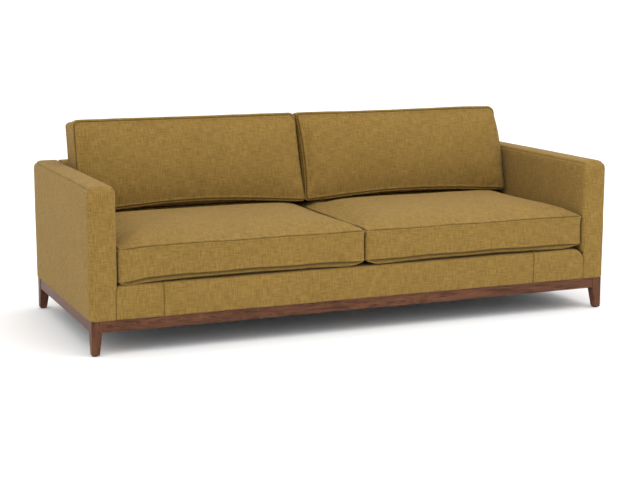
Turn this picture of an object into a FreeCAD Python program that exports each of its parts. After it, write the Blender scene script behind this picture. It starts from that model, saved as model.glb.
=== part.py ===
"""A two-seat-cushion sofa on a wooden plinth with tapered legs.

Frame: millimetres, +X to the sitter's left as seen from the front (the viewer's right), +Y towards
the back, +Z up. The origin is on the floor, under the middle of the sofa. The sofa faces -Y.
Each piece is written to parts/NODE.step; a node of several solids is a group of identical pieces.
"""

import FreeCAD
import Part

import math
import os

from FreeCAD import Vector

# ---------------------------------------------------------------- driving dimensions
WIDTH = 2240.0  # over the outside of the arms
DEPTH = 930.0  # over the front of the arms and the outside back
ARM_HEIGHT = 635.0  # floor to the top of arms and back frame
ARM_THICKNESS = 108.0
BACK_THICKNESS = 110.0
BASE_HEIGHT = 133.0  # floor to the underside of the upholstered frame
SEAT_DECK = 262.0  # floor to the top of the front rail, where the cushions rest
SEAT_TOP = 440.0  # floor to the top of a seat cushion
BACK_CUSHION_TOP = 812.0
BACK_LEAN = 10.5  # degrees that the back cushions lean from vertical

# wooden base
BASE_INSET = 5.0  # the wood stands this far inside the cover
BASE_RAIL_HEIGHT = 44.0
BASE_RAIL_THICKNESS = 22.0
RAIL_SETBACK = 2.0  # base rails stand this far behind the leg faces
LEG_SIZE = 42.0
LEG_FOOT = 30.0
LEG_EDGE = 3.0  # rounding of a leg's long edges
RAIL_EDGE = 2.0  # rounding of a base rail's lower edges
FOOT_CHAMFER = 3.0
GLIDE_HEIGHT = 3.0
GLIDE_RADIUS = 10.0
TENON_LENGTH = 18.0
TENON_THICKNESS = 10.0
TENON_SHOULDER = 7.0
CENTRE_RAIL_WIDTH = 42.0
CENTRE_RAIL_HEIGHT = 32.0
CENTRE_STUB = 8.0  # how far the centre rail's ends are let into the long rails
BASE_BLOCK_CLEARANCE = 39.0  # corner to the cut-off point of a base corner block, clear of the leg
BASE_BLOCK_RUN = 116.0  # corner to the far end of a base corner block
BASE_BLOCK_INSET = 8.0  # base rail's upper and lower edge to the block

# upholstered frame
BOARD = 25.0
THIN_BOARD = 22.0
PANEL = 3.0
DUST_COVER = 1.5
COVER = 2.0  # fabric with its lining
ARM_FRAME_OUT = 10.0  # cover to frame, on the outer side
ARM_FRAME_IN = 16.0  # cover to frame, on the inner side
FRONT_PAD = 16.0
REAR_PAD = 8.0
TOP_PAD = 24.0
FRAME_BOTTOM = BASE_HEIGHT + DUST_COVER
SEAT_RAIL_TOP = 236.0
TACK_RAIL_HEIGHT = 40.0
BRACE_HEIGHT = 60.0
SEAT_BLOCK_RUN = 80.0
SEAT_BLOCK_BELOW = 15.0  # a seat corner block above the rails' underside
SEAT_BLOCK_ABOVE = 16.0  # and below their top
PLAY = 1.0  # between parts that are put together in padding
SLIP = 0.5  # between cloth and what slides or rests on it
FRONT_ROLL_DEPTH = 80.0  # how far back the front rail's padding reaches
COVER_EDGE = 20.0  # rounding of the arms' and back's top edges
COVER_CORNER = 12.0  # rounding of their upright edges
FRONT_RAIL_END = 45.0  # rounding of the front rail's two top corners
FRONT_RAIL_EDGE = 14.0  # rounding of the front rail's top front edge
DECK_INSET = 2.0  # deck cloth to the arms
DUST_INSET_SIDE = 2.0  # dust cover to the frame's sides
DUST_INSET_FRONT = 4.0  # and to its front and rear

# suspension
SPRINGS_PER_SEAT = 5
SPRING_WIRE = 1.85  # radius
SPRING_BAR = 16.0  # half of a spring's straight bar
SPRING_BENDS = 37
SPRING_CLEARANCE = 0.1  # spring above the rails
WIRE_PLAY = 0.05  # spring in its clip
CLIP_HALF = 12.0
CLIP_DEPTH = 18.0
CLIP_HEIGHT = 5.5
STRAPS_PER_SEAT = 4
STRAP_WIDTH = 50.0
STRAP_THICKNESS = 1.5

# loose cushions
MIDDLE_GAP = 4.0  # between the two cushions of a row
SEAT_ARM_GAP = 4.0  # between a seat cushion and an arm
BACK_ARM_GAP = 14.0  # between a back cushion and an arm
CUSHION_FRONT = -460.0
CUSHION_REAR = 343.0
BORDER_LOW = 282.0  # the seat cushion's two border seams
BORDER_HIGH = 405.0
CROWN_FULLNESS = 0.36  # how round the crown's shoulders are; 0 is a flat slope
SEAT_CROWN_RUN = 110.0  # how far in from the border the top levels out
SEAT_UNDER_RUN = 62.0
CUSHION_CORNER = 9.0  # cut off the seat cushion's upright corners
BACK_CUSHION_FRONT = 158.0  # the front face's foot
BACK_CUSHION_THICKNESS = 135.0  # between its two seams
BACK_CROWN_FRONT = 14.0
BACK_CROWN_REAR = 18.0
BACK_CROWN_RUN = 110.0
BACK_CUSHION_CORNER = 12.0  # cut off the back cushion's two top corners
CUSHION_CLEARANCE = 1.0  # back cushion above seat cushion
CORE_CLEARANCE = 0.5  # stuffing inside its cover

# zips, sunk in a groove of the cushion's border
ZIP_LENGTH = 900.0
GROOVE_HALF = 8.0
GROOVE_DEPTH = 7.0
GROOVE_END = 2.0  # groove beyond each end of the zip
GROOVE_OPEN = 30.0  # how far a groove's cutter stands out of the cushion
ZIP_FLOAT = 0.2  # tape above the groove's floor
CHAIN_INSET = 3.0  # tape's end to the chain's end
SLIDER_START = 10.0  # tape's end to the slider
SLIDER_CORNER = 1.2
PULL_CORNER = 2.0
TAPE_HALF = 7.0
TAPE = 0.8
CHAIN_HALF = 2.2
CHAIN = 1.6
SLIDER_LENGTH = 12.0
SLIDER_HALF = 4.6
SLIDER_HEIGHT = 4.0
SLIDER_PLAY = 0.2
PULL_LENGTH = 24.0
PULL_HALF = 2.6
PULL = 1.1

# fasteners
BOLT_RADIUS = 4.0
BOLT_HEAD_RADIUS = 6.5
BOLT_HEAD = 5.3
BOLT_INTO_FRAME = 45.0
CENTRE_BOLT_Y = 250.0
LEG_BOLT_RADIUS = 3.0
LEG_BOLT_DEPTH = 24.0
CENTRE_LEG_BOLT_BELOW = 40.0  # how far the centre leg's bolt reaches down into the leg
CENTRE_LEG_BOLT_LENGTH = 65.0
NAIL_RADIUS = 1.2
NAIL_LENGTH = 14.0
NAIL_ROOT = 0.5  # nail's start inside its disc
GLIDE_EDGE = 1.0

# ---------------------------------------------------------------- derived places
HALF_WIDTH = WIDTH / 2
HALF_DEPTH = DEPTH / 2
ARM_INSIDE = HALF_WIDTH - ARM_THICKNESS
BACK_INSIDE = HALF_DEPTH - BACK_THICKNESS
LEG_OUT_X = HALF_WIDTH - BASE_INSET
LEG_OUT_Y = HALF_DEPTH - BASE_INSET
RAIL_OUT_X = LEG_OUT_X - RAIL_SETBACK
RAIL_OUT_Y = LEG_OUT_Y - RAIL_SETBACK
RAIL_IN_X = RAIL_OUT_X - BASE_RAIL_THICKNESS
RAIL_IN_Y = RAIL_OUT_Y - BASE_RAIL_THICKNESS
RAIL_BOTTOM = BASE_HEIGHT - BASE_RAIL_HEIGHT
CENTRE_RAIL_BOTTOM = BASE_HEIGHT - CENTRE_RAIL_HEIGHT
BASE_BLOCK_BOTTOM = RAIL_BOTTOM + BASE_BLOCK_INSET
BASE_BLOCK_TOP = BASE_HEIGHT - BASE_BLOCK_INSET
FRAME_OUT_X = HALF_WIDTH - ARM_FRAME_OUT
FRAME_IN_X = ARM_INSIDE + ARM_FRAME_IN
FRAME_FRONT = -HALF_DEPTH + FRONT_PAD
FRAME_REAR = HALF_DEPTH - REAR_PAD
FRAME_TOP = ARM_HEIGHT - TOP_PAD
BACK_FRAME_FRONT = BACK_INSIDE + FRONT_PAD + PLAY
FRONT_ROLL_REAR = -HALF_DEPTH + FRONT_ROLL_DEPTH
SPRING_HEIGHT = SEAT_RAIL_TOP + SPRING_WIRE + SPRING_CLEARANCE
CLIP_TOP = SEAT_RAIL_TOP + CLIP_HEIGHT
SPRING_FRONT = FRAME_FRONT + BOARD / 2
SPRING_REAR = BACK_FRAME_FRONT + BOARD / 2
DECK_PAD_BOTTOM = CLIP_TOP
DECK_CLOTH_TOP = SEAT_DECK - COVER
DECK_CLOTH_BOTTOM = DECK_CLOTH_TOP - COVER
SEAT_CUSHION_BOTTOM = SEAT_DECK + SLIP
CUSHION_IN_X = MIDDLE_GAP / 2
SEAT_OUT_X = ARM_INSIDE - SEAT_ARM_GAP
BACK_OUT_X = ARM_INSIDE - BACK_ARM_GAP
BACK_CUSHION_BOTTOM = SEAT_TOP + CUSHION_CLEARANCE
LEAN = math.radians(BACK_LEAN)
BASE_BOLT_X = FRAME_IN_X + BOARD / 2
BASE_BOLT_Y = 400.0
LEFT_AND_RIGHT = (("left", -1), ("right", 1))
FRONT_AND_REAR = (("front", -1), ("rear", 1))
UP = Vector(0, 0, 1)


# ---------------------------------------------------------------- shape helpers
def box(x, y, z):
    """A block between three pairs of coordinates, in either order."""
    low = Vector(min(x), min(y), min(z))
    size = [max(pair) - min(pair) for pair in (x, y, z)]
    return Part.makeBox(*size, low)


def rod(start, direction, length, radius):
    return Part.makeCylinder(radius, length, Vector(*start), Vector(*direction))


def prism(outline, z):
    """An upright prism on a plan outline, between two heights."""
    wire = Part.makePolygon([Vector(px, py, z[0]) for px, py in outline + outline[:1]])
    return Part.Face(wire).extrude(Vector(0, 0, z[1] - z[0]))


def mirror_x(shape):
    return shape.mirror(Vector(0, 0, 0), Vector(1, 0, 0))


def mirror_y(shape):
    return shape.mirror(Vector(0, 0, 0), Vector(0, 1, 0))


def on_side(shape, side):
    """The shape, drawn on the +X side, moved to its own side."""
    return shape if side > 0 else mirror_x(shape)


def carve(shape, *tools):
    """The shape without the tools."""
    for tool in tools:
        shape = shape.cut(tool)
    return shape


def along(edge, axis):
    """Whether a straight edge runs along an axis: 0, 1 or 2 for X, Y or Z."""
    if not isinstance(edge.Curve, Part.Line):
        return False
    direction = edge.Vertexes[-1].Point - edge.Vertexes[0].Point
    return abs(direction[axis]) > 0.999 * direction.Length


def rounded(shape, radius, chosen):
    """The shape with the chosen edges rounded."""
    return shape.makeFillet(radius, [edge for edge in shape.Edges if chosen(edge)])


def chamfered(shape, size, chosen):
    """The shape with the chosen edges cut off at 45 degrees."""
    return shape.makeChamfer(size, [edge for edge in shape.Edges if chosen(edge)])


def soft_box(x, y, z, edge, corner):
    """A block with rounded upright corners and a rounded top rim."""
    block = rounded(box(x, y, z), corner, lambda e: along(e, 2))
    top = max(z)
    return rounded(block, edge, lambda e: e.BoundBox.ZMin > top - 1e-6)


# ---------------------------------------------------------------- wooden base
def rounded_square(x, y, radius, z):
    """A closed wire: the rectangle between two pairs of coordinates, with rounded corners."""
    x0, x1, y0, y1 = min(x), max(x), min(y), max(y)
    corners = ((x1, y1, 0), (x0, y1, 90), (x0, y0, 180), (x1, y0, 270))
    edges, last = [], None
    for cx, cy, start in corners:
        centre = Vector(
            cx - math.copysign(radius, cx - (x0 + x1) / 2),
            cy - math.copysign(radius, cy - (y0 + y1) / 2),
            z,
        )
        angles = [math.radians(start + turn) for turn in (0, 45, 90)]
        points = [centre + Vector(math.cos(a), math.sin(a), 0) * radius for a in angles]
        if last:
            edges.append(Part.LineSegment(last, points[0]).toShape())
        edges.append(Part.Arc(*points).toShape())
        last = points[2]
    edges.append(Part.LineSegment(last, edges[0].Vertexes[0].Point).toShape())
    return Part.Wire(Part.__sortEdges__(edges))


def corner_leg_blank():
    """The leg at +X, +Y: straight on its two outer faces, tapered on its two inner ones."""

    def section(size, z, radius, chamfer=0.0):
        x = (LEG_OUT_X - size + chamfer, LEG_OUT_X - chamfer)
        y = (LEG_OUT_Y - size + chamfer, LEG_OUT_Y - chamfer)
        return rounded_square(x, y, radius, z)

    foot_top = GLIDE_HEIGHT + FOOT_CHAMFER
    lowest = section(LEG_FOOT, GLIDE_HEIGHT, LEG_EDGE, FOOT_CHAMFER)
    ankle = section(LEG_FOOT, foot_top, LEG_EDGE)
    shoulder = section(LEG_SIZE, RAIL_BOTTOM, LEG_EDGE)
    foot = Part.makeLoft([lowest, ankle], True, True)
    taper = Part.makeLoft([ankle, shoulder], True, True)
    block = Part.Face(shoulder).extrude(Vector(0, 0, BASE_RAIL_HEIGHT))
    return foot.fuse(taper).fuse(block).removeSplitter()


def base_tenons():
    """The tenons at the +X, +Y corner: that of the front or rear rail, then that of the side rail."""
    z = (RAIL_BOTTOM + TENON_SHOULDER, BASE_HEIGHT - TENON_SHOULDER)
    leg_in_x, leg_in_y = LEG_OUT_X - LEG_SIZE, LEG_OUT_Y - LEG_SIZE
    cheek = (BASE_RAIL_THICKNESS - TENON_THICKNESS) / 2
    long_rail = box((leg_in_x, leg_in_x + TENON_LENGTH), (RAIL_IN_Y + cheek, RAIL_OUT_Y - cheek), z)
    side_rail = box((RAIL_IN_X + cheek, RAIL_OUT_X - cheek), (leg_in_y, leg_in_y + TENON_LENGTH), z)
    return long_rail, side_rail


def eased(rail, axis):
    """A rail along an axis with its two lower edges rounded."""
    floor = rail.BoundBox.ZMin
    return rounded(rail, RAIL_EDGE, lambda e: along(e, axis) and e.BoundBox.ZMax < floor + RAIL_EDGE)


def four_corners(shape):
    """The shape at the +X, +Y corner, as a dictionary of all four corners."""
    placed = {}
    for front_name, front in FRONT_AND_REAR:
        for side_name, side in LEFT_AND_RIGHT:
            there = on_side(shape, side)
            placed[f"{front_name}_{side_name}"] = mirror_y(there) if front < 0 else there
    return placed


def wooden_base(parts):
    long_tenon, side_tenon = base_tenons()
    leg = carve(corner_leg_blank(), long_tenon, side_tenon)
    leg = carve(leg, leg_bolt(), glide(LEG_OUT_X - LEG_FOOT / 2, LEG_OUT_Y - LEG_FOOT / 2))
    for corner, shape in four_corners(leg).items():
        parts[f"{corner}_leg"] = shape

    z = (RAIL_BOTTOM, BASE_HEIGHT)
    reach_x, reach_y = LEG_OUT_X - LEG_SIZE, LEG_OUT_Y - LEG_SIZE
    long_rail = eased(box((-reach_x, reach_x), (RAIL_IN_Y, RAIL_OUT_Y), z), 0)
    long_rail = long_rail.fuse([long_tenon, mirror_x(long_tenon)]).removeSplitter()
    side_rail = eased(box((RAIL_IN_X, RAIL_OUT_X), (-reach_y, reach_y), z), 1)
    side_rail = side_rail.fuse([side_tenon, mirror_y(side_tenon)]).removeSplitter()

    half = CENTRE_RAIL_WIDTH / 2
    centre_z = (CENTRE_RAIL_BOTTOM, BASE_HEIGHT)
    centre_rail = box((-half, half), (-RAIL_IN_Y, RAIL_IN_Y), centre_z)
    centre_tenon = box((-half, half), (RAIL_IN_Y, RAIL_IN_Y + CENTRE_STUB), centre_z)
    centre_rail = centre_rail.fuse([centre_tenon, mirror_y(centre_tenon)]).removeSplitter()
    long_rail = carve(long_rail, centre_tenon)
    parts["rear_base_rail"] = long_rail
    parts["front_base_rail"] = mirror_y(long_rail)
    parts["right_base_rail"] = side_rail
    parts["left_base_rail"] = mirror_x(side_rail)

    sections = [
        rounded_square((-width / 2, width / 2), (-width / 2, width / 2), LEG_EDGE, level)
        for width, level in (
            (LEG_FOOT - 2 * FOOT_CHAMFER, GLIDE_HEIGHT),
            (LEG_FOOT, GLIDE_HEIGHT + FOOT_CHAMFER),
            (LEG_SIZE, CENTRE_RAIL_BOTTOM),
        )
    ]
    centre_leg = Part.makeLoft(sections[:2], True, True).fuse(Part.makeLoft(sections[1:], True, True))
    parts["centre_support_leg"] = carve(centre_leg.removeSplitter(), centre_leg_bolt(), glide(0, 0))
    parts["centre_base_rail"] = carve(centre_rail, centre_leg_bolt(), *centre_bolts())
    corner_glide = glide(LEG_OUT_X - LEG_FOOT / 2, LEG_OUT_Y - LEG_FOOT / 2)
    parts["leg_glides"] = Part.makeCompound([*four_corners(corner_glide).values(), glide(0, 0)])


def corner_block(in_x, in_y, gap, run, z):
    """A diagonal block in the +X, +Y corner between two inner faces, clear of the corner by the gap."""
    outline = [(in_x - gap, in_y), (in_x - run, in_y), (in_x, in_y - run), (in_x, in_y - gap)]
    return prism(outline, z)


def corner_blocks(parts):
    """Four blocks behind the legs, and four in the corners of the seat frame above them."""
    base_z = (BASE_BLOCK_BOTTOM, BASE_BLOCK_TOP)
    base_block = corner_block(RAIL_IN_X, RAIL_IN_Y, BASE_BLOCK_CLEARANCE, BASE_BLOCK_RUN, base_z)
    base_block = carve(base_block, leg_bolt(), corner_base_bolt())
    blocks = list(four_corners(base_block).values())
    seat_z = (FRAME_BOTTOM + SEAT_BLOCK_BELOW, SEAT_RAIL_TOP - SEAT_BLOCK_ABOVE)
    for inner_y, facing in ((FRAME_FRONT + BOARD, -1), (BACK_FRAME_FRONT, 1)):
        outline = [
            (FRAME_IN_X, inner_y),
            (FRAME_IN_X - SEAT_BLOCK_RUN, inner_y),
            (FRAME_IN_X, inner_y - facing * SEAT_BLOCK_RUN),
        ]
        block = prism(outline, seat_z)
        blocks += [block, mirror_x(block)]
    parts["corner_blocks"] = Part.makeCompound(blocks)


# ---------------------------------------------------------------- fasteners
def hex_head(centre, direction, height):
    """A six-sided bolt head whose face is at the centre point, standing out against the direction."""
    angles = [k * math.pi / 3 for k in range(6)]
    points = [Vector(math.cos(a), math.sin(a), 0) * BOLT_HEAD_RADIUS for a in angles]
    head = Part.Face(Part.makePolygon(points + points[:1])).extrude(Vector(0, 0, height))
    turn = FreeCAD.Rotation(UP, -Vector(*direction))
    head.Placement = FreeCAD.Placement(Vector(*centre), turn)
    return head


def base_bolt(x, y, z):
    """A bolt from the underside of the base, up into the seat frame."""
    length = FRAME_BOTTOM + BOLT_INTO_FRAME - z
    shank = rod((x, y, z), (0, 0, 1), length, BOLT_RADIUS)
    return shank.fuse(hex_head((x, y, z), (0, 0, 1), BOLT_HEAD))


def corner_base_bolt():
    """The bolt through the base's corner block at +X, +Y."""
    return base_bolt(BASE_BOLT_X, BASE_BOLT_Y, BASE_BLOCK_BOTTOM)


def centre_bolts():
    return [base_bolt(0, y, CENTRE_RAIL_BOTTOM) for y in (-CENTRE_BOLT_Y, CENTRE_BOLT_Y)]


def leg_bolt():
    """The bolt through the corner block into the leg at +X, +Y, along the diagonal."""
    slope = math.sqrt(0.5)
    height = RAIL_BOTTOM + BASE_RAIL_HEIGHT / 2
    corner_x, corner_y = LEG_OUT_X - LEG_SIZE, LEG_OUT_Y - LEG_SIZE
    tip = Vector(corner_x + LEG_BOLT_DEPTH * slope, corner_y + LEG_BOLT_DEPTH * slope, height)
    # the block's inner face is the line x + y = constant through its two far corners
    face_sum = RAIL_IN_X + RAIL_IN_Y - BASE_BLOCK_RUN
    back = (corner_x + corner_y - face_sum) / 2
    start = Vector(corner_x - back, corner_y - back, height)
    direction = (slope, slope, 0)
    shank = rod(tuple(start), direction, (tip - start).Length, LEG_BOLT_RADIUS)
    return shank.fuse(hex_head(tuple(start), direction, BOLT_HEAD))


def centre_leg_bolt():
    start = (0, 0, CENTRE_RAIL_BOTTOM - CENTRE_LEG_BOLT_BELOW)
    return rod(start, (0, 0, 1), CENTRE_LEG_BOLT_LENGTH, BOLT_RADIUS)


def glide(x, y):
    """A nail-on glide: a domed disc under the foot, with its nail up in the wood."""
    disc = rod((x, y, 0), (0, 0, 1), GLIDE_HEIGHT, GLIDE_RADIUS)
    disc = rounded(disc, GLIDE_EDGE, lambda e: e.BoundBox.ZMax < GLIDE_EDGE)
    return disc.fuse(rod((x, y, GLIDE_HEIGHT - NAIL_ROOT), (0, 0, 1), NAIL_LENGTH, NAIL_RADIUS))


def frame_bolts(parts):
    bolts = list(four_corners(leg_bolt()).values())
    bolts += list(four_corners(corner_base_bolt()).values())
    bolts += centre_bolts() + [centre_leg_bolt()]
    parts["frame_bolts"] = Part.makeCompound(bolts)


# ---------------------------------------------------------------- inner frame
def seat_frame(parts):
    rail_z = (FRAME_BOTTOM, SEAT_RAIL_TOP)
    across = (-FRAME_IN_X, FRAME_IN_X)
    bolt = corner_base_bolt()
    parts["seat_front_rail"] = box(across, (FRAME_FRONT, FRAME_FRONT + BOARD), rail_z)
    parts["seat_rear_rail"] = box(across, (BACK_FRAME_FRONT, BACK_FRAME_FRONT + BOARD), rail_z)
    side_rail = box((FRAME_IN_X, FRAME_IN_X + BOARD), (FRAME_FRONT + BOARD, FRAME_REAR - BOARD), rail_z)
    side_rail = carve(side_rail, bolt, mirror_y(bolt))
    brace_y = (FRAME_FRONT + BOARD, BACK_FRAME_FRONT)
    brace = box((-BOARD / 2, BOARD / 2), brace_y, (FRAME_BOTTOM, FRAME_BOTTOM + BRACE_HEIGHT))
    parts["seat_right_rail"] = side_rail
    parts["seat_left_rail"] = mirror_x(side_rail)
    parts["seat_centre_brace"] = carve(brace, *centre_bolts())


def arm_frames(parts):
    x = (FRAME_IN_X, FRAME_OUT_X)
    z = (FRAME_BOTTOM, FRAME_TOP)
    between = (FRAME_FRONT + BOARD, FRAME_REAR - BOARD)
    front_post = box(x, (FRAME_FRONT, FRAME_FRONT + BOARD), z)
    rear_post = box(x, (FRAME_REAR - BOARD, FRAME_REAR), z)
    top_rail = box(x, between, (FRAME_TOP - THIN_BOARD, FRAME_TOP))
    tack_rail = box((FRAME_IN_X, FRAME_IN_X + THIN_BOARD), between, (SEAT_DECK, SEAT_DECK + TACK_RAIL_HEIGHT))
    for name, side in LEFT_AND_RIGHT:
        parts[f"{name}_arm_front_post"] = on_side(front_post, side)
        parts[f"{name}_arm_rear_post"] = on_side(rear_post, side)
        parts[f"{name}_arm_top_rail"] = on_side(top_rail, side)
    parts["arm_tack_rails"] = Part.makeCompound([tack_rail, mirror_x(tack_rail)])


def back_frame(parts):
    across = (-FRAME_IN_X, FRAME_IN_X)
    front, rear = BACK_FRAME_FRONT, FRAME_REAR
    parts["back_top_rail"] = box(across, (front, rear), (FRAME_TOP - THIN_BOARD, FRAME_TOP))
    parts["back_tack_rail"] = box(across, (front, front + BOARD), (SEAT_DECK, SEAT_DECK + TACK_RAIL_HEIGHT))
    parts["back_bottom_rail"] = box(across, (rear - BOARD, rear), (FRAME_BOTTOM, FRAME_BOTTOM + TACK_RAIL_HEIGHT))
    upright_x = FRAME_IN_X / 3
    upright = box(
        (upright_x - BOARD / 2, upright_x + BOARD / 2),
        (front + BOARD, rear - BOARD),
        (FRAME_BOTTOM, FRAME_TOP - THIN_BOARD),
    )
    parts["back_uprights"] = Part.makeCompound([upright, mirror_x(upright)])


def frame_panels(parts):
    """Hardboard that closes the arms and the back, so that the padding has something to lie on."""
    long_y = (FRAME_FRONT, FRAME_REAR)
    outer = box((FRAME_OUT_X, FRAME_OUT_X + PANEL), long_y, (FRAME_BOTTOM, FRAME_TOP))
    inner_y = (FRAME_FRONT, BACK_FRAME_FRONT - PLAY)
    inner = box((FRAME_IN_X - PANEL, FRAME_IN_X), inner_y, (SEAT_DECK, FRAME_TOP))
    across = ARM_INSIDE - COVER_CORNER
    back = box((-across, across), (FRAME_REAR, FRAME_REAR + PANEL), (FRAME_BOTTOM, FRAME_TOP))
    parts["frame_panels"] = Part.makeCompound([outer, mirror_x(outer), inner, mirror_x(inner), back])


# ---------------------------------------------------------------- suspension
def spring(x):
    """A flat sinuous spring from the front rail to the rear rail."""
    pitch = (SPRING_REAR - SPRING_FRONT) / SPRING_BENDS
    bend = pitch / 2
    edges = []
    for k in range(SPRING_BENDS + 1):
        y = SPRING_FRONT + k * pitch
        way = 1 if k % 2 else -1
        near = Vector(x + way * SPRING_BAR, y, SPRING_HEIGHT)
        far = Vector(x - way * SPRING_BAR, y, SPRING_HEIGHT)
        edges.append(Part.LineSegment(near, far).toShape())
        if k < SPRING_BENDS:
            end = far + Vector(0, pitch, 0)
            middle = far + Vector(-way * bend, bend, 0)
            edges.append(Part.Arc(far, middle, end).toShape())
    path = Part.Wire(edges)
    start = edges[0].Vertexes[0].Point
    ring = Part.Wire(Part.makeCircle(SPRING_WIRE, start, Vector(1, 0, 0)))
    return path.makePipeShell([ring], True, False)


def spring_places():
    pitch = FRAME_IN_X / SPRINGS_PER_SEAT
    right = [(k + 0.5) * pitch for k in range(SPRINGS_PER_SEAT)]
    return [-x for x in reversed(right)] + right


def suspension(parts):
    springs, clips = [], []
    for x in spring_places():
        springs.append(spring(x))
        for y in (SPRING_FRONT, SPRING_REAR):
            y_reach = (y - CLIP_DEPTH / 2, y + CLIP_DEPTH / 2)
            block = box((x - CLIP_HALF, x + CLIP_HALF), y_reach, (SEAT_RAIL_TOP, CLIP_TOP))
            wire_start = (x - 2 * CLIP_HALF, y, SPRING_HEIGHT)
            wire_way = rod(wire_start, (1, 0, 0), 4 * CLIP_HALF, SPRING_WIRE + WIRE_PLAY)
            clips.append(carve(block, wire_way))
    parts["seat_springs"] = Part.makeCompound(springs)
    parts["spring_clips"] = Part.makeCompound(clips)

    pitch = ARM_INSIDE / STRAPS_PER_SEAT
    straps = []
    for k in range(-STRAPS_PER_SEAT, STRAPS_PER_SEAT):
        x = (k + 0.5) * pitch
        straps.append(
            box(
                (x - STRAP_WIDTH / 2, x + STRAP_WIDTH / 2),
                (BACK_FRAME_FRONT - STRAP_THICKNESS, BACK_FRAME_FRONT),
                (SEAT_DECK, FRAME_TOP),
            )
        )
    parts["back_webbing"] = Part.makeCompound(straps)


# ---------------------------------------------------------------- padding and covers
def arm_block(inset):
    """The soft outline of the +X arm, inset from its surface; its underside is left open."""
    return soft_box(
        (ARM_INSIDE + inset, HALF_WIDTH - inset),
        (-HALF_DEPTH + inset, HALF_DEPTH - inset),
        (BASE_HEIGHT - inset, ARM_HEIGHT - inset),
        COVER_EDGE - inset,
        COVER_CORNER - inset,
    )


def back_block(inset):
    reach = ARM_INSIDE - PLAY - inset
    return soft_box(
        (-reach, reach),
        (BACK_INSIDE + inset, HALF_DEPTH - inset),
        (BASE_HEIGHT - inset, ARM_HEIGHT - inset),
        COVER_EDGE - inset,
        COVER_CORNER - inset,
    )


def front_rail_block(inset):
    """The padded front rail: rounded at its top front edge, and more at its two top corners."""
    reach = ARM_INSIDE - PLAY - inset
    block = box(
        (-reach, reach), (-HALF_DEPTH + inset, FRONT_ROLL_REAR), (BASE_HEIGHT - inset, SEAT_DECK - inset)
    )
    top = SEAT_DECK - inset
    block = rounded(block, FRONT_RAIL_END - inset, lambda e: along(e, 1) and e.BoundBox.ZMin > top - 1)
    front = -HALF_DEPTH + inset

    def top_front(e):
        return e.BoundBox.YMax < front + 1e-3 and e.BoundBox.ZMax > top - FRONT_RAIL_END and not along(e, 2)

    return rounded(block, FRONT_RAIL_EDGE - inset, top_front)


def covers_and_padding(parts):
    frame_floor = box((-HALF_WIDTH, HALF_WIDTH), (-HALF_DEPTH, HALF_DEPTH), (0, FRAME_BOTTOM))
    dust_x, dust_y = FRAME_OUT_X - DUST_INSET_SIDE, FRAME_REAR - DUST_INSET_FRONT
    dust_cover = box((-dust_x, dust_x), (-dust_y, dust_y), (BASE_HEIGHT, FRAME_BOTTOM))
    long_boards = ("seat_front_rail", "seat_rear_rail", "back_top_rail", "back_tack_rail", "back_bottom_rail")
    crossing = [parts[name] for name in long_boards]

    # arms: open towards the seat frame below the deck
    below_deck = box(
        (ARM_INSIDE - PLAY, FRAME_IN_X),
        (FRAME_FRONT + BOARD, BACK_FRAME_FRONT),
        (0, DECK_CLOTH_BOTTOM - COVER),
    )
    arm_core = box((FRAME_IN_X - PANEL, FRAME_OUT_X + PANEL), (FRAME_FRONT, FRAME_REAR), (0, FRAME_TOP))
    arm_cover = carve(arm_block(0.0), arm_block(COVER), dust_cover, below_deck, *crossing)
    arm_padding = carve(arm_block(COVER), frame_floor, arm_core, below_deck, *crossing)
    for name, side in LEFT_AND_RIGHT:
        parts[f"{name}_arm_cover"] = on_side(arm_cover, side)
        parts[f"{name}_arm_padding"] = on_side(arm_padding, side)

    # back: open towards the springs below the deck
    full_width = (-HALF_WIDTH, HALF_WIDTH)
    spring_way = box(full_width, (BACK_INSIDE - PLAY, BACK_FRAME_FRONT), (0, DECK_CLOTH_TOP + SLIP))
    core_y = (BACK_FRAME_FRONT - STRAP_THICKNESS, FRAME_REAR + PANEL)
    back_core = box(full_width, core_y, (0, FRAME_TOP))
    parts["back_cover"] = carve(back_block(0.0), back_block(COVER), dust_cover, spring_way, *crossing)
    parts["back_padding"] = carve(back_block(COVER), frame_floor, back_core, spring_way)

    # front rail
    rail_core = box(full_width, (FRAME_FRONT, FRONT_ROLL_REAR + PLAY), (0, CLIP_TOP))
    parts["front_rail_cover"] = carve(front_rail_block(0.0), front_rail_block(COVER), dust_cover, rail_core)
    parts["front_rail_padding"] = carve(front_rail_block(COVER), frame_floor, rail_core)

    # deck
    deck_reach = ARM_INSIDE - DECK_INSET
    deck_x, deck_y = (-deck_reach, deck_reach), (FRONT_ROLL_REAR, BACK_INSIDE)
    parts["deck_pad"] = box(deck_x, deck_y, (DECK_PAD_BOTTOM, DECK_CLOTH_BOTTOM))
    parts["deck_cloth"] = box(deck_x, deck_y, (DECK_CLOTH_BOTTOM, DECK_CLOTH_TOP))
    bolts = four_corners(corner_base_bolt()).values()
    parts["dust_cover"] = carve(dust_cover, *bolts, *centre_bolts())


# ---------------------------------------------------------------- loose cushions
def crown_arc(edge, level, rise, run):
    """An arc from a border's edge up to the crown's level, a little flatter than one that ends level.

    The points are (across, height); the rise and the run are signed, away from the edge.
    """
    tilt = math.hypot(rise, run)
    bulge = CROWN_FULLNESS * rise / 2
    middle_across = edge + run / 2 - bulge * rise / tilt * math.copysign(1, run)
    middle_height = level + rise / 2 + bulge * abs(run) / tilt
    return (edge, level), (middle_across, middle_height), (edge + run, level + rise)


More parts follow.
